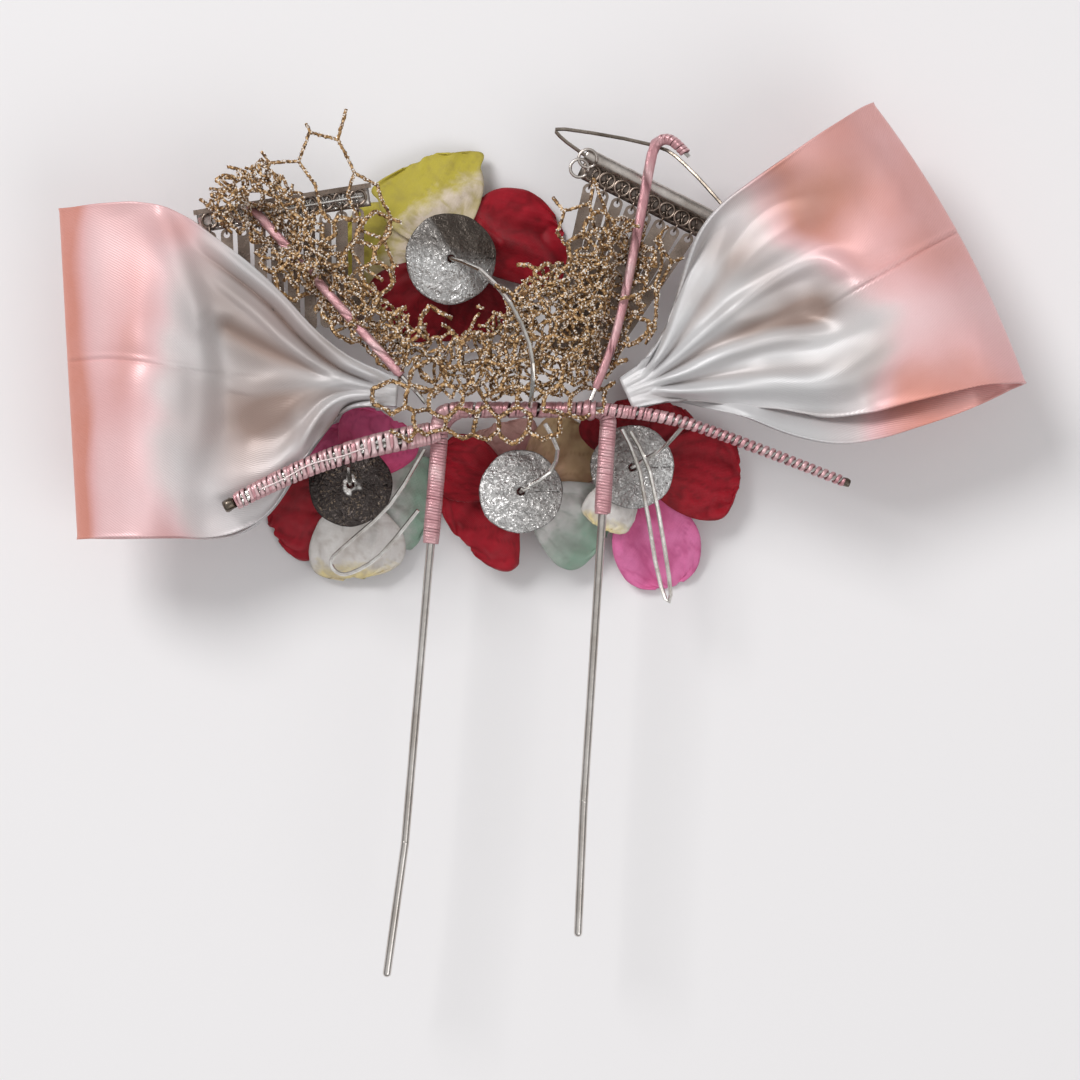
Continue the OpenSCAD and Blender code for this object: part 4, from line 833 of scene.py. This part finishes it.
def petal(flower, index, direction, length, width, tier, curl, silk, roll, slant, full, lean, creases):
    place, _, fall, longest = FLOWERS[flower]
    seed = 40 + 7 * index + 31 * list(FLOWERS).index(flower)
    outline = spline(OUTLINE, 5)
    across = np.linspace(-1, 1, 35)
    t = outline[:, 0][:, None] + 0 * across[None]
    a = across[None] + 0 * t
    out = mix(PETAL_ROOT, length, t)
    share = outline[:, 1][:, None] * (1 + full * ease(0.72, 1.0, t))
    half = np.minimum(share * width / 2, PETAL_SPREAD * out - 0.3)
    out = out - 0.05 * length * full * a * a * ease(0.5, 1, t)
    rim = waves((np.sin(a * 1.6 + seed), a * 2.4), seed, 2.2, 2)
    out = out * (1 + 0.022 * rim * t ** 4)
    side = a * half * (1 + 0.04 * waves((t * 2, 0.7 * np.sign(a) + seed), seed + 8, 1.8, 2)) \
        + lean * width * t ** 2
    reach = np.hypot(out, side)
    drop = fall * np.maximum((reach - PETAL_ROOT) / (longest - PETAL_ROOT), 0) ** 1.5
    crumple = np.abs(waves((t * 1.5 + 0.3 * a, a * 1.1), seed + 1, 1.1, 3))
    small = np.abs(waves((t * 4.0 + a, a * 2.8 + 0.4 * t), seed + 2, 1.1, 3))
    folds = sum((crease_height(out, side, length, width, *line) for line in creases), 0 * t)
    lip = roll * 0.35 * ease(0.72, 1.0, np.abs(a)) * ease(0.3, 0.9, t)
    lift = curl * t ** 6 + (0.62 * (crumple - 0.4) + 0.3 * (small - 0.4) + folds) * ease(0.08, 0.4, t) + lip
    height = DISC_Z - PETAL_DROP + lift - tier * PETAL_TIER - drop
    ahead, aside = toward(direction), toward(direction + 90)
    plan = place + out[..., None] * ahead + side[..., None] * aside
    grid = np.concatenate([plan, np.maximum(height, FLOOR_GAP)[..., None]], axis=-1)
    # Painted shade for the petal's colour: darker in the crumple's hollows, in the creases' valleys and at
    # the side edges.
    deep = np.clip(0.9 - crumple * 4.5, 0, 1) + np.clip(-folds, 0, 1) * 0.7 + 0.4 * ease(0.85, 1, np.abs(a))
    slot, material = SILKS[silk]
    shape = Shape()
    shape.sheet(grid, PETAL_WALL, reach=t + slant * a, crease=np.clip(deep, 0, 1), u=out, v=a * half)
    piece = shape.make("%s_petal_silk_%d" % (flower, index + 1), material, slot,
                       "%s_petal_%d" % (flower, index + 1))


for flower, rows in PETALS.items():
    for index, row in enumerate(rows):
        petal(flower, index, *row)
DISC_RADIUS, DISC_HOLE, DISC_WALL = 8.0, 0.75, 0.3


def foil_disc(flower, material, crumple, bend, tone, bare=0.0, size=1.0):
    """A round of crinkled foil on card with a hole for the stem, bent and dented by hand. bend gives the
    way across the bend, its slope and its distance from the hole. tone gives the way to the darker
    side, how dark it is there, and where that begins and is full; on the top disc that dark side is a painted
    reflection. bare is how much glue shows."""
    place, tilt, _, _ = FLOWERS[flower]
    seed = 70 + list(FLOWERS).index(flower)
    radii = np.concatenate([[DISC_HOLE], np.linspace(1.1, DISC_RADIUS, 30)])
    angle = np.linspace(0, TURN, 113)
    r = radii[:, None] + 0 * angle[None]
    t = angle[None] + 0 * r
    edge = (1 + 0.012 * np.sin(3 * t + seed) + 0.008 * np.sin(7 * t)) * mix(1, size, ease(1, 4, r))
    x, y = r * edge * np.cos(t), r * edge * np.sin(t)
    z = -0.6 * (r / DISC_RADIUS) ** 2 - 0.15
    z = z + crumple * waves((x, y), seed, 5.5, 3) * ease(0.8, 3, r) \
        + 0.09 * np.abs(waves((x, y), seed + 9, 1.7, 3))
    away = x * bend[0] + y * bend[1] - bend[3]
    z = z + bend[2] * 0.5 * (away + np.sqrt(away ** 2 + 0.05)) * ease(0.6, 2.0, r)
    tx, ty = math.radians(tilt[0]), math.radians(tilt[1])
    y2, z2 = y * math.cos(tx) - z * math.sin(tx), y * math.sin(tx) + z * math.cos(tx)
    x3, z3 = x * math.cos(ty) + z2 * math.sin(ty), -x * math.sin(ty) + z2 * math.cos(ty)
    grid = np.stack([place[0] + x3, place[1] + y2, DISC_Z + z3], axis=-1)
    # Darker towards one side by tone, a painted reflection on the top disc, and painted shade on a part bent
    # steeply down.
    darkening = tone[2] * ease(tone[3], tone[4], x * tone[0] + y * tone[1]) \
        + 0.25 * ease(0.2, 1.0, away) * (bend[2] < -0.2)
    blotch = bare * ease(1.9, 1.2, r + 0.6 * waves((x, y), seed + 4, 3.0, 2))
    shape = Shape()
    shape.sheet(grid, DISC_WALL, tone=np.clip(darkening, 0, 1), bare=np.clip(blotch, 0, 1))
    shape.make(flower + "_foil_disc", material, "foil", flower + "_disc", welded=True)


foil_disc("top", FOIL, 0.22, (0.84, 0.54, -0.32, 0.2), (0.2, 0.98, 0.72, -2.5, 3.0), size=1.09)
foil_disc("left", DARK_FOIL, 0.12, (1, 0.2, 0.02, 0), (1, 0, 0.0, -1, 1), bare=1.0)
foil_disc("centre", FOIL, 0.20, (1, 0.5, -0.05, 1), (0.9, 0.4, 0.5, -9, 6))
foil_disc("right", FOIL, 0.24, (0.6, 0.8, -0.06, -2), (-0.9, 0.4, 0.6, -9, 6))


# Net of glitter-coated strands
CELL = 5.3
SIDE = CELL / math.sqrt(3)
# Columns: row, first and last cell
NET_SPANS = [(0, 7, 12), (1, 6, 13), (2, 7, 14), (3, 6, 14), (4, 5, 15), (5, 4, 14), (6, 3, 7), (6, 11, 15),
             (7, 2, 5), (7, 13, 15), (8, 2, 6), (8, 14, 15)]
NET_LIFT = [0.4, 1.3, 1.8, 1.7, 1.0, 0.4, 0, -0.2, -0.6, -1, -1.6, -2.4, -3.4, -4]
NET_CORNER = BAR_LEFT + [-46.5, -5.1]
ARM_TALL, NET_GAP = 3.15, 0.4
NET_Z = ARM_Z + ARM_TALL / 2 + NET_GAP
STRAND_STEP, STRAND_UP = 0.42, (0.2, 0.1, 1)
FLAKES, PAINTED_GLINTS = 4.5, 2.2  # a millimetre of strand


def lattice_edges(cells):
    """The edges of the lattice's six-sided cells, each one once, as pairs of knots."""
    edges = set()
    for c, r in cells:
        ring = [(c, r), (c + 1, r), (c + 2, r), (c + 2, r + 1), (c + 1, r + 1), (c, r + 1)]
        for a, b in zip(ring, ring[1:] + ring[:1]):
            edges.add((min(a, b), max(a, b)))
    return sorted(edges)


def knot_plan(c, r):
    zigzag = (1 if (c + r) % 2 == 0 else -1) * SIDE / 4
    return np.array([c * CELL / 2, r * 1.5 * SIDE + zigzag])


def inside(point, outline):
    hit = False
    for (x0, y0), (x1, y1) in zip(outline, np.roll(outline, 1, axis=0)):
        if (y0 > point[1]) != (y1 > point[1]) and point[0] < (x1 - x0) * (point[1] - y0) / (y1 - y0) + x0:
            hit = not hit
    return hit


class Glitter:
    """Strands of coated thread: lumpy tubes with flakes standing on them, and white grains on their tops as
    painted glints.
    """

    def __init__(self, seed):
        self.draw = np.random.default_rng(seed)
        self.strands, self.flakes, self.painted_glints = Shape(), Shape(), Shape()

    def strand(self, a, b, radius, sag=0.5):
        a, b = np.asarray(a, float), np.asarray(b, float)
        run = np.linalg.norm(b - a)
        n = max(int(run / STRAND_STEP), 3)
        t = np.linspace(0, 1, n + 1)[:, None]
        bow = self.draw.normal(0, sag * 0.35, 3) * [1, 1, 0.8]
        path = mix(a, b, t) + (bow + self.draw.normal(0, 0.05, (n + 1, 3))) * np.sin(math.pi * t)
        lumps = radius * (1 + self.draw.uniform(-0.22, 0.25, (n + 1, 6)))
        self.strands.tube(path, lumps, sides=6, up=STRAND_UP, tone=self.draw.uniform(0, 1))
        side, over = frames(path, STRAND_UP)
        # The white grains, set on the top half of each strand, are painted glints.
        for kind, count, low, high, grown in ((self.flakes, FLAKES, 0, TURN, 1),
                                              (self.painted_glints, PAINTED_GLINTS, 0.1 * math.pi, 0.9 * math.pi, 1.5)):
            for _ in range(int(count * run + self.draw.uniform())):
                k = self.draw.uniform(0, n)
                i = min(int(k), n - 1)
                turn = self.draw.uniform(low, high)
                out = math.cos(turn) * side[i] + math.sin(turn) * over[i]
                spot = mix(path[i], path[i + 1], k - i) + out * radius * self.draw.uniform(0.85, 1.1)
                self.grain(kind, spot, out, self.draw.uniform(0.11, 0.22) * grown)

    def grain(self, kind, spot, out, size):
        """A low pyramid that stands out from its strand: a bit of glitter, and in the white kind a painted
        glint.
        """
        normal = unit(out + self.draw.normal(0, 0.5, 3))
        u = unit(np.cross(normal, self.draw.normal(size=3)))
        v = np.cross(normal, u)
        corners = [spot + size * (math.cos(q) * u + math.sin(q) * v) for q in (0.3, 2.4, 4.5)]
        tip = spot + normal * size * 0.8
        kind.add(corners + [tip], [[0, 1, 3], [1, 2, 3], [2, 0, 3], [2, 1, 0]], smooth=False,
                 tone=self.draw.uniform(0, 1))

    def path(self, points):
        for a, b in zip(points[:-1], points[1:]):
            self.strand(a, b, radius=0.31, sag=0.25)

    def make(self, name, stands_for=None):
        self.strands.make(name + "_strands", STRAND, "glitter_net", stands_for)
        self.flakes.make(name + "_flakes", FLAKE, "glitter_net")
        self.painted_glints.make(name + "_painted_glints", PAINTED_GLINT, "glitter_net")


def glitter_material(name, rough, metallic, *stops):
    n = Nodes(name, Roughness=rough, Metallic=metallic)
    grains = n.node("TexVoronoi", {"Vector": n.place(), "Scale": 2600})
    random_cell = n.node("SeparateColor", {"Color": grains.outputs["Color"]}).outputs[0]
    tone = n.math("FRACT", n.math("ADD", n.value("tone"), random_cell))
    n.to("Base Color", n.ramp(tone, *stops))
    n.to("Normal", n.bump(grains.outputs["Distance"], 0.8, 0.00015))
    return n.material


STRAND = glitter_material("glitter_strand", 0.5, 0.35, (0.0, (76, 51, 29)), (0.35, (122, 88, 53)),
                          (0.7, (168, 129, 80)), (0.95, (228, 191, 143)))
FLAKE = glitter_material("glitter_flake", 0.3, 0.7, (0.0, (88, 60, 34)), (0.4, (164, 122, 74)),
                         (0.75, (214, 173, 120)), (0.95, (255, 237, 210)))
# Painted glints: white matt grains that stand for the glitter's sparkle.
PAINTED_GLINT = glitter_material("glitter_painted_glint", 0.3, 0.0, (0.0, (232, 212, 190)), (0.4, (248, 236, 222)),
                         (0.75, (255, 248, 240)), (0.95, (255, 252, 248)))
# The net passes under the right support, and under the left one where the photograph shows that one bare.
# Columns: path of the support, half width that is held down, and how far below the path it stays
left_bare = resample(left_support, 0.8)[0]
RIGHT_UNDER = (resample(right_support_points[:15], 0.8)[0], 2.4, 1.5)
LEFT_UNDER = [(left_bare[i:j], 1.6, 1.4) for i, j in ((4, 14), (21, 30), (44, 54))]
NOTCH = px([(398, 270), (520, 262), (516, 300), (478, 330), (440, 336), (398, 312)])
NOTCH_BARE, LATTICE_REACH = 0.93, 14


def net_layer(glitter, z_of, outline, origin, turn, stretch, jitter, seed, keep, spans=None, radius=0.30):
    """A piece of the net: the lattice is stretched, turned and crumpled, and cut to an outline. Most of it
    is left out in the notch over the top flower."""
    draw = np.random.default_rng(seed)
    if spans:
        cells = [(2 * i + r % 2, r) for r, first, last in spans for i in range(first, last + 1)]
    else:
        whole = range(-LATTICE_REACH, LATTICE_REACH)
        cells = [(2 * i + r % 2, r) for r in whole for i in whole]
    c, s = toward(turn)
    spots = {}

    def spot(key):
        if key not in spots:
            p = knot_plan(*key) * stretch
            p = np.array([c * p[0] - s * p[1], s * p[0] + c * p[1]]) + origin
            p = p + draw.normal(0, jitter, 2) + 1.8 * jitter * np.array(
                [waves(p, seed + 1, 14, 2), waves(p, seed + 2, 14, 2)])
            z = z_of(p, key) + draw.normal(0, jitter * 0.4)
            for way, width, clear in [RIGHT_UNDER] + LEFT_UNDER:
                gap = np.hypot(*(way[:, :2] - p).T)
                nearest = gap.argmin()
                z = mix(min(z, way[nearest, 2] - clear), z, ease(width, width + 2.0, gap[nearest]))
            spots[key] = np.append(p, z)
        return spots[key]

    for a, b in lattice_edges(cells):
        pa, pb = spot(a), spot(b)
        if outline is not None and not (inside(pa, outline) and inside(pb, outline)):
            continue
        if draw.uniform() > keep or draw.uniform() < NOTCH_BARE and inside(mix(pa, pb, 0.5), NOTCH):
            continue
        glitter.strand(pa, pb, radius)


def base_height(p, key):
    c, r = key
    wave = 0.45 * math.sin(math.radians(75 * c)) * math.cos(math.radians(50 * r))
    return NET_Z + NET_LIFT[min(max(r, 0), len(NET_LIFT) - 1)] + wave


front = Glitter(101)
net_layer(front, base_height, None, NET_CORNER, 0.0, (1, 1), 0.45, 5, 0.93, NET_SPANS, 0.42)
front.make("net_front", "net")

crumpled = Glitter(202)
left_wing = px([(203, 212), (214, 182), (262, 158), (300, 190), (352, 262), (392, 300), (418, 352),
                (402, 384), (352, 346), (292, 292), (244, 244)])
middle = px([(386, 296), (430, 310), (484, 306), (512, 286), (560, 262), (600, 220), (640, 216), (656, 250),
             (640, 330), (606, 384), (540, 404), (424, 398), (384, 340)])
knot = px([(470, 330), (500, 300), (540, 270), (590, 248), (612, 262), (606, 330), (590, 384), (520, 398),
           (476, 380)])
# Columns: height, its waves along and across, and net_layer's columns from its outline on
for height, wave_x, wave_y, *layer in (
        (-0.9, 0.7, 0.0, left_wing, (-44, 50), -46, (0.9, 0.42), 0.5, 31, 1.0),
        (-2.0, 0.0, 0.6, left_wing, (-43, 48), -30, (0.55, 0.8), 0.6, 32, 0.9),
        (-1.4, 0.4, 0.5, left_wing, (-45, 49), 14, (0.5, 0.6), 0.6, 35, 0.6),
        (0.3, 0.5, 0.4, middle, (-4, 42), 22, (0.62, 0.55), 0.6, 33, 1.0),
        (-1.4, 0.8, -0.3, middle, (-3, 41), -37, (0.55, 0.75), 0.7, 34, 0.9),
        (-0.6, -0.4, 0.7, knot, (-2, 40), 64, (0.42, 0.5), 0.6, 36, 0.9)):
    net_layer(crumpled, lambda p, k: NET_Z + height + 0.8 * math.sin(p[0] * wave_x + p[1] * wave_y), *layer)
crumpled.make("net_crumpled")

loose = Glitter(303)
for line in (
        [(668, 226, 22), (655, 240, 22.5), (672, 262, 23), (658, 290, 23.5), (655, 330, 24),
         (645, 345, 24.5)],
        [(672, 262, 23), (684, 258, 23)],
        [(655, 330, 24), (628, 347, 24.5)],
        [(346, 109, 22), (338, 140, 23), (310, 133, 23.5), (306, 124, 23)],
        [(310, 133, 23.5), (299, 162, 24), (270, 164, 24), (262, 152, 23.5)],
        [(270, 164, 24), (266, 176, 24.5), (278, 196, 25)],
        [(299, 162, 24), (316, 186, 24.5), (322, 214, 25)],
        [(338, 140, 23), (355, 174, 24), (378, 186, 24), (383, 203, 24), (391, 219, 24), (384, 240, 24.5),
         (393, 264, 25), (395, 284, 25.5)],
        [(391, 219, 24), (402, 223, 24)],
        [(355, 174, 24), (348, 196, 24.5), (359, 219, 25), (361, 231, 25), (352, 251, 25.5), (361, 266, 26),
         (384, 282, 26)],
        [(361, 231, 25), (384, 240, 24.5)],
        [(228, 167, 23), (244, 172, 23.5), (264, 184, 24.5)],
        [(221, 179, 23), (232, 188, 24), (250, 196, 25)],
        [(210, 189, 23), (231, 191, 24)],
        [(200, 199, 22.5), (222, 214, 24)],
        [(553, 197, 22), (564, 211, 22.5), (590, 204, 23), (594, 178, 22)],
        [(564, 211, 22.5), (557, 232, 23), (566, 246, 24)],
        [(594, 178, 22), (604, 206, 23), (608, 232, 24), (598, 250, 24.5)],
        [(590, 204, 23), (594, 228, 24), (582, 240, 24.5)],
        [(608, 232, 24), (618, 240, 24.5), (626, 222, 24), (640, 228, 23.5)],
        [(660, 234, 22.5), (662, 262, 23), (655, 285, 23.5), (656, 318, 24), (648, 336, 24.5)],
        [(618, 300, 25), (640, 294, 24.5), (655, 285, 23.5)]):
    loose.path(px(line))
loose.make("net_loose")


# The solids that stay as they are get their materials
def dress(material, *nodes):
    for name in nodes:
        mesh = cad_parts[name].data
        mesh.materials.clear()
        mesh.materials.append(material)


dress(STEEL, "hairpin")
dress(DARK_WIRE, "bail_wire")
dress(WIRE, "right_arm_wire", "left_support_wire", "right_support_wire", "left_wire_loop", "right_wire_loop",
      *(flower + "_stem" for flower in FLOWERS))
dress(STRIP, "left_fan_bar", "right_fan_bar", "left_streamers", "right_streamers")
dress(THREAD, *(flower + "_heart" for flower in FLOWERS))


# Fans: the second row of rings behind the first, the plate that backs them, and the rod or rail before them
RING_PITCH, RING_RADIUS, RING_WIRE, FAN_Z = 3.2, 1.45, 0.26, PIN_Z - 7.2
PLATE_WALL, ROD_RADIUS, RAIL_RADIUS, RAIL_LOOP = 0.2, 0.3, 1.3, 1.75


def on_fan(corner, turn, points):
    """Points in a fan's own plan, from its corner along its bar, to the object's frame."""
    p = np.asarray(points, float)
    plan = corner + p[:, :1] * toward(turn) + p[:, 1:2] * toward(turn + 90)
    return np.concatenate([plan, p[:, 2:] + FAN_Z], axis=1)


def ring_path(x, y, z, radius, tilt):
    t = np.linspace(0, TURN * 0.97, 25)
    return np.stack([x + radius * np.cos(t), y + radius * np.sin(t), z + tilt * np.cos(t)], axis=1)


# Columns: corner, direction, rings, height of the bar, metal of the rings and of the plate, and the front's
# name and metal
for side, corner, turn, rings, bar, ring_metal, plate_metal, front_name, front_metal in (
        ("left", BAR_LEFT + [-46.2, 38.2], 8.9, 10, 0.9, WIRE, RAIL, "rod", WIRE),
        ("right", BAR_RIGHT + [-3.2, 48.7], -26.6, 8, 2.3, STRIP, BACKING, "rail", RAIL)):
    length, seat = rings * RING_PITCH, bar / 2 + RING_RADIUS
    behind, plate, front = Shape(), Shape(), Shape()
    for i in range(1, rings):
        ring = ring_path(i * RING_PITCH, -seat, -0.75, RING_RADIUS, 0.12)
        behind.tube(on_fan(corner, turn, ring), RING_WIRE)
    rows = np.stack([np.stack([np.linspace(-0.8, length + 0.6, 40), np.full(40, y), np.full(40, z)], axis=1)
                     for y, z in ((bar / 2 - 0.3, -1.35), (-1.2, -1.5), (-2.4, -1.55), (-seat - 1.9, -1.5))])
    plate.sheet(on_fan(corner, turn, rows.reshape(-1, 3)).reshape(rows.shape), PLATE_WALL)
    if side == "left":
        rod = [(8 + k, -2.35 + 0.02 * k, 0.72) for k in np.linspace(0, length - 8.5, 30)]
        front.tube(on_fan(corner, turn, rod), ROD_RADIUS, sides=10)
    else:
        x = np.linspace(-1.2, length + 1.2, 60)
        rail = np.stack([x, 0.1 + 0 * x, 0.25 + 0 * x], axis=1)
        uneven = RAIL_RADIUS * (1.0 + 0.02 * np.sin(x * 1.7))
        front.tube(on_fan(corner, turn, rail), uneven, sides=18, squash=0.75)
        for x, y in ((-0.4, -0.6), (-1.0, -3.0)):
            front.tube(on_fan(corner, turn, ring_path(x, y, 1.35, RAIL_LOOP, 0.1)), ROD_RADIUS)
    behind.make(side + "_fan_rings_behind", ring_metal, "silver_wire")
    plate.make(side + "_fan_plate", plate_metal, "streamer_metal")
    front.make(side + "_fan_" + front_name, front_metal, "streamer_metal")


# Stage: floor, camera straight above, soft light from the upper left
FLOOR_HALF, FLOOR_DROP, SKY_STRENGTH = 1.6, 0.0004, 0.70
mesh = bpy.data.meshes.new("floor")
mesh.from_pydata([(x * FLOOR_HALF, y * FLOOR_HALF, 0) for x, y in ((-1, -1), (1, -1), (1, 1), (-1, 1))], [],
                 [[0, 1, 2, 3]])
floor = bpy.data.objects.new("floor", mesh)
floor.location.z = -FLOOR_DROP
paper = Nodes("paper", Roughness=0.85, Specular_IOR_Level=0.2)
paper.to("Base Color", PAPER)
mesh.materials.append(paper.material)
scene = bpy.context.scene
scene.collection.objects.link(floor)


def area_light(name, place, size, power):
    """A round light that looks at the origin."""
    data = bpy.data.lights.new(name, "AREA")
    data.shape, data.size, data.energy = "DISK", size, power
    lamp = bpy.data.objects.new(name, data)
    lamp.location = place
    lamp.rotation_mode = "QUATERNION"
    lamp.rotation_quaternion = (-Vector(place)).to_track_quat("-Z", "Y")
    scene.collection.objects.link(lamp)


scene.view_settings.view_transform = "Standard"
world = bpy.data.worlds.new("studio")
scene.world = world
world.use_nodes = True
# Levels of linear light by height: these are not picture tones
sky = world.node_tree
ramp = sky.nodes.new("ShaderNodeValToRGB")
for stop, (place, level) in zip(list(ramp.color_ramp.elements) + [ramp.color_ramp.elements.new(0.5)],
                                ((0.5, 0.3), (1.0, 1.15), (0.72, 0.42))):
    stop.position, stop.color = place, (level, level, level, 1.0)
split = sky.nodes.new("ShaderNodeSeparateXYZ")
half_up = sky.nodes.new("ShaderNodeMath")
half_up.operation = "MULTIPLY_ADD"
half_up.inputs[1].default_value, half_up.inputs[2].default_value = 0.5, 0.5
sky.links.new(sky.nodes.new("ShaderNodeTexCoord").outputs["Generated"], split.inputs[0])
sky.links.new(split.outputs["Z"], half_up.inputs[0])
sky.links.new(half_up.outputs[0], ramp.inputs[0])
sky.links.new(ramp.outputs["Color"], sky.nodes["Background"].inputs["Color"])
sky.nodes["Background"].inputs["Strength"].default_value = SKY_STRENGTH
area_light("key", (-1.0, 1.1, 1.65), size=0.9, power=26.5)
area_light("fill", (1.0, -1.0, 1.8), size=1.6, power=9.5)
DISTANCE, SENSOR = 0.8, 36
camera_data = bpy.data.cameras.new("camera")
camera_data.sensor_width = SENSOR
camera_data.lens = SENSOR * DISTANCE / (PX_FRAME * PX * MM)
camera_data.clip_start, camera_data.clip_end = 0.01, 10
camera = bpy.data.objects.new("camera", camera_data)
middle_x, middle_y = px([(PX_FRAME / 2, PX_FRAME / 2)])[0] * MM
camera.location = (middle_x, middle_y, PIN_Z * MM + DISTANCE)
scene.collection.objects.link(camera)
scene.camera = camera
